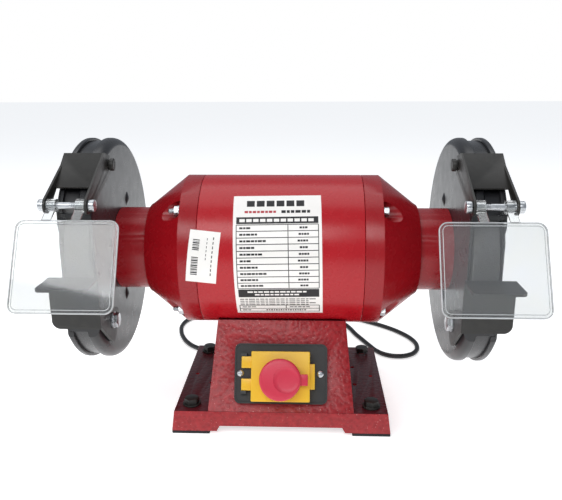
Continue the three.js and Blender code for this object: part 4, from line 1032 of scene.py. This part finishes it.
def toolRest():
    top, back = axisZ - rest["drop"], axisY - (corners("wheel_right")[1].z - axisZ + rest["gap"])
    inner, outer = guardInner - 1, coverOuter + rest["overhang"]
    sheet, corner = rest["sheet"], rest["corner"]
    low, x0 = top - rest["leg"], inner - sheet
    middle, reach = (outer + x0) / 2, rest["depth"] + corner
    at = Matrix.Translation((middle, back - reach / 2 + corner, 0))
    table = prism(roundedBox(outer - x0, reach, rest["tableCorner"]), top - sheet, top, at)
    table = cut(table, block(x0 - 2, outer + 2, back, back + 2 * corner, top - sheet - 2, top + 2))
    xz = Matrix.Translation((0, back, 0)) @ Matrix.Rotation(math.pi / 2, 4, "X")
    leg = prism(wrapped([(x0 + 1, top - 1, 1), (outer - 1, top - 1, 1), (x0 + 1, low + 1, 1),
                         (outer - corner, low + corner, corner)]), 0, sheet, xz)
    y, z = axisY + rest["boltY"], axisZ - rest["boltDrop"]
    armOutline = wrapped([(back - 1, top - 30, 1), (back - 1, low + 2, 1),
                          (y + rest["travel"][1], z, rest["arm"]), (y, z - rest["hang"], rest["arm"])])
    arm = prism(armOutline, x0, inner, yz)
    slotOutline = wrapped([(y + t, z, rest["boltRadius"] + 0.3) for t in rest["travel"]])
    slot = prism(slotOutline, x0 - 2, inner + 2, yz)
    pair("rest_table", beveled(cut(joined(table, leg, arm), slot), 0.5, 2, 40), satinBlack, "tool_rest")
    seat = x0 - 0.3
    bolt = Matrix.Translation((0, y, z)) @ alongX
    washer = turned([(seat - 1.4, 0), (seat - 1.4, 8.2), (seat, 8.2), (seat, rest["boltRadius"]),
                     (guardInner - 0.3, rest["boltRadius"]), (guardInner - 0.3, 0)], bolt, 40)
    head = chamferedHex(rest["across"], seat - rest["head"], seat - 1, bolt)
    pair("rest_screw", joined(washer, head), zinc, "tool_rest_bolt")


toolRest()
print("stage: tool rests")


# ---- pedestal, pads and foot bolts

base = dict(edge=1.1, padEdge=0.6, washer=9.2, washerHeight=1.6, across=13, head=5.5, bolt=4,
            spin=dict(left=17, right=41))


def pedestalBody():
    draft = beveled(copied("pedestal"), base["edge"], 2, 40)
    finished("pedestal_casting", draft, hammeredRed, "pedestal")


def feet():
    for row in ("front", "rear"):
        for side, spin in base["spin"].items():
            pad = beveled(copied(f"rubber_pad_{row}_{side}"), base["padEdge"], 2, 40)
            finished(f"foot_pad_{row}_{side}", pad, rubber, f"rubber_pad_{row}_{side}")
            low, high = corners(f"foot_bolt_{row}_{side}")
            x, y = (low.x + high.x) / 2, (low.y + high.y) / 2
            at = Matrix.Translation((x, y, 0))
            seat = high.z - base["head"] - base["washerHeight"]
            top, reach = seat + base["washerHeight"], base["washer"]
            rings = [(seat, 0), (seat, reach), (top - 0.4, reach), (top, reach - 0.6), (top, 0)]
            washer = turned(rings, at, 48)
            spun = at @ Matrix.Rotation(math.radians(spin), 4, "Z")
            head = chamferedHex(base["across"], seat + 1, high.z, spun)
            shank = prism(circle(base["bolt"], 28), low.z, seat + 1, at)
            bolt = joined(washer, head, shank)
            finished(f"foot_screw_{row}_{side}", bolt, satinBlack, f"foot_bolt_{row}_{side}")


pedestalBody()
feet()
print("stage: pedestal and feet")


# ---- switch, drawn flat: X right, Y up, Z out of the sloping face

switch = dict(height=60.3, faceBase=25.2, width=93, tall=59.5, sheet=3.5, corner=6, opening=(26.6, 19.6),
              hingeX=-37, hingeHeight=7.2, pin=1.2, lug=3, earSpacing=11, earTall=11.5, earSheet=4.4,
              screws=(-40.5, 39.5), screwHead=3.3)  # faceBase: where the sloping face meets the flange
flap = dict(width=58, tall=49, drop=2.5, low=4.2, high=16, wall=2, tabReach=5, tabTall=25, tabDepth=6)
knob = dict(radius=20.4, low=19.5, high=28.5, drop=2.8, stem=3, stemX=11, tongue=27, tongueHalf=5.5,
            crown=1.0, dish=13.5, dishX=6.5)
key = dict(width=14.4, tall=16.4, top=7, depth=7.5, spacing=11)
press = next(joint for joint in record["behaviour"]["joints"] if joint["name"] == "start_press")["axis"]
lean = math.asin(-press[2])
switchY = corners("pedestal")[0].y + (switch["height"] - switch["faceBase"]) * math.tan(lean)
onFace = Matrix.Translation((0, switchY, switch["height"])) @ Matrix.Rotation(math.pi / 2 - lean, 4, "X")
onHinge = (onFace @ Matrix.Translation((switch["hingeX"], 0, switch["hingeHeight"]))
           @ Matrix.Rotation(-math.pi / 2, 4, "X"))


def switchPlate():
    sheet = switch["sheet"]
    plate = prism(roundedBox(switch["width"], switch["tall"], switch["corner"]), 0.3, 0.3 + sheet, onFace)
    rim = prism(roundedBox(switch["width"], switch["tall"], switch["corner"]), 1, 0.3 + sheet + 0.9, onFace)
    well = prism(roundedBox(switch["width"] - 3, switch["tall"] - 3, switch["corner"] - 1.5), 0, 9, onFace)
    w, h = switch["opening"]
    extras = []
    for side in (-1, 1):
        ear = side * (switch["earSpacing"] + switch["earTall"] / 2)
        y0, y1 = sorted((ear + side * 0.3, ear + side * (0.3 + switch["lug"])))
        extras.append(block(switch["hingeX"] - 3, switch["hingeX"] + 3, y0, y1,
                            sheet - 1, switch["hingeHeight"] + 2.5, onFace))
        z0, z1 = sorted((side * (switch["earSpacing"] + 1.2), ear + side * 2.3))
        extras.append(prism(circle(switch["pin"], 20), z0, z1, onHinge))
    plate = joined(plate, cut(rim, well), *extras)
    holes = [prism(circle(1.9, 20, x, 0), -1, 9, onFace) for x in switch["screws"]]
    plate = cut(plate, block(-w, w, -h, h, -1, 9, onFace), *holes)
    finished("switch_bezel", beveled(plate, 0.45, 2, 40), blackAbs, "switch_plate")


def plateScrews():
    for x, side in zip(switch["screws"], ("left", "right")):
        seat = switch["sheet"] + 0.6
        at = onFace @ Matrix.Translation((x, 0, 0))
        r = switch["screwHead"]
        screw = turned([(-9, 0), (-9, 1.4), (seat, 1.4), (seat, r), (seat + 0.5, r), (seat + 1.3, r - 0.9),
                        (seat + 1.8, r - 2.2), (seat + 1.8, 0)], at, 32)
        turns = [at @ Matrix.Rotation(math.radians(a), 4, "Z") for a in (20, 110)]
        cross = [block(-2.1, 2.1, -0.4, 0.4, seat + 0.9, seat + 3, place) for place in turns]
        finished(f"bezel_screw_{side}", cut(screw, *cross), zinc, f"plate_screw_{side}")


def keys():
    for side, node, material in ((-1, "start_key", greenAbs), (1, "stop_key", redAbs)):
        x = side * key["spacing"]
        at = onFace @ Matrix.Translation((x, 0, 0))
        cap = prism(roundedBox(key["width"], key["tall"], 1.5), key["top"] - key["depth"], key["top"], at)
        top = key["top"]
        dimple = turned([(top - 0.7, 0), (top - 0.5, 3), (top, 5.5), (top + 2, 6), (top + 2, 0)], at, 40)
        finished(f"{node}_cap", beveled(cut(cap, dimple), 0.4, 2, 40), material, node)


def switchFlap():
    w, h, drop, wall = flap["width"] / 2, flap["tall"] / 2, flap["drop"], flap["wall"]
    at = onFace @ Matrix.Translation((0, -drop, 0))
    shell = beveled(prism(roundedBox(2 * w, 2 * h, 1.2), flap["low"], flap["high"], at), 0.7, 3, 40)
    hollow = block(-w + wall, w - wall, -h + wall, h - wall, flap["low"] - 2, flap["high"] - wall, at)
    shell = cut(shell, hollow)
    extras = []
    for side in (-1, 1):
        middle, half, thick = side * switch["earSpacing"], switch["earTall"] / 2, switch["earSheet"] / 2
        ear = block(switch["hingeX"] - thick, -w + wall, middle - half, middle + half,
                    switch["hingeHeight"] - thick, switch["hingeHeight"] + thick, onFace)
        extras.append(beveled(ear, 0.5, 2, 40))
    tab = flap["tabTall"] / 2
    lug = block(w - wall, w + flap["tabReach"], -tab, tab, flap["low"], flap["low"] + flap["tabDepth"], at)
    extras.append(beveled(lug, 0.6, 2, 40))
    tools = []
    for side in (-1, 1):
        ear = side * (switch["earSpacing"] + switch["earTall"] / 2)
        z0, z1 = sorted((ear - side * 6, ear + side * 2))
        tools.append(prism(circle(switch["pin"] + 0.3, 20), z0, z1, onHinge))
    stemHole = circle(knob["stem"] + 0.5, 32, knob["stemX"], -drop - knob["drop"])
    tools.append(prism(stemHole, flap["low"], flap["high"] + 2, onFace))
    finished("switch_cover", cut(joined(shell, *extras), *tools), yellowAbs, "switch_flap")


def mushroomKnob():
    y = -flap["drop"] - knob["drop"]
    at = onFace @ Matrix.Translation((0, y, 0))
    r, low, high, crown, well = knob["radius"], knob["low"], knob["high"], knob["crown"], knob["dish"]
    cap = turned([(low, 0), (low, r - 2), *arc(low + 1.5, r - 1.5, 1.5, 180, 90, 3),
                  *arc(high - crown - 2.6, r - 2.6, 2.6, 90, 20, 6), (high - crown + 0.35, r - 5),
                  (high - 0.25, r - 10), (high, r - 15), (high, 0)], at, 96)
    tongue = block(0, knob["tongue"], -knob["tongueHalf"], knob["tongueHalf"], low, low + 4, at)
    tongue = beveled(tongue, 0.5, 2, 40)
    stem = prism(circle(knob["stem"], 32, knob["stemX"], 0), key["top"] + 0.3, low + 1, at)
    draft = joined(cap, tongue, stem)
    dish = turned([(high - 1.9, 0), (high - 1.7, well - 5), (high - 1.1, well - 1.5), (high + 0.1, well),
                   (high + 3, well), (high + 3, 0)], at @ Matrix.Translation((knob["dishX"], 0, 0)), 64)
    finished("stop_knob", cut(draft, dish), redAbs, "stop_mushroom")


switchPlate()
plateScrews()
keys()
switchFlap()
mushroomKnob()
print("stage: switch")


# ---- the nodes whose own solids stay

kept = {
    steel: ("bottom_cover", "stator_core", "rotor_core", "spindle_shaft", "bearing_left", "bearing_right",
            "wheel_flange_inner_left", "wheel_flange_inner_right", "wheel_flange_outer_left",
            "wheel_flange_outer_right"),
    zinc: ("spindle_nut_left", "spindle_nut_right"),
    copper: ("stator_winding",),
    greyCase: ("capacitor",),
    blackAbs: ("switch_body",),
}
for material, nodes in kept.items():
    for node in nodes:
        mesh = frame["nodes"][node].data
        if len(mesh.materials):
            frame["nodes"][node].material_slots[0].link = "OBJECT"
            frame["nodes"][node].material_slots[0].material = material
        else:
            mesh.materials.append(material)
print("stage: inner pieces")

bpy.context.view_layer.update()
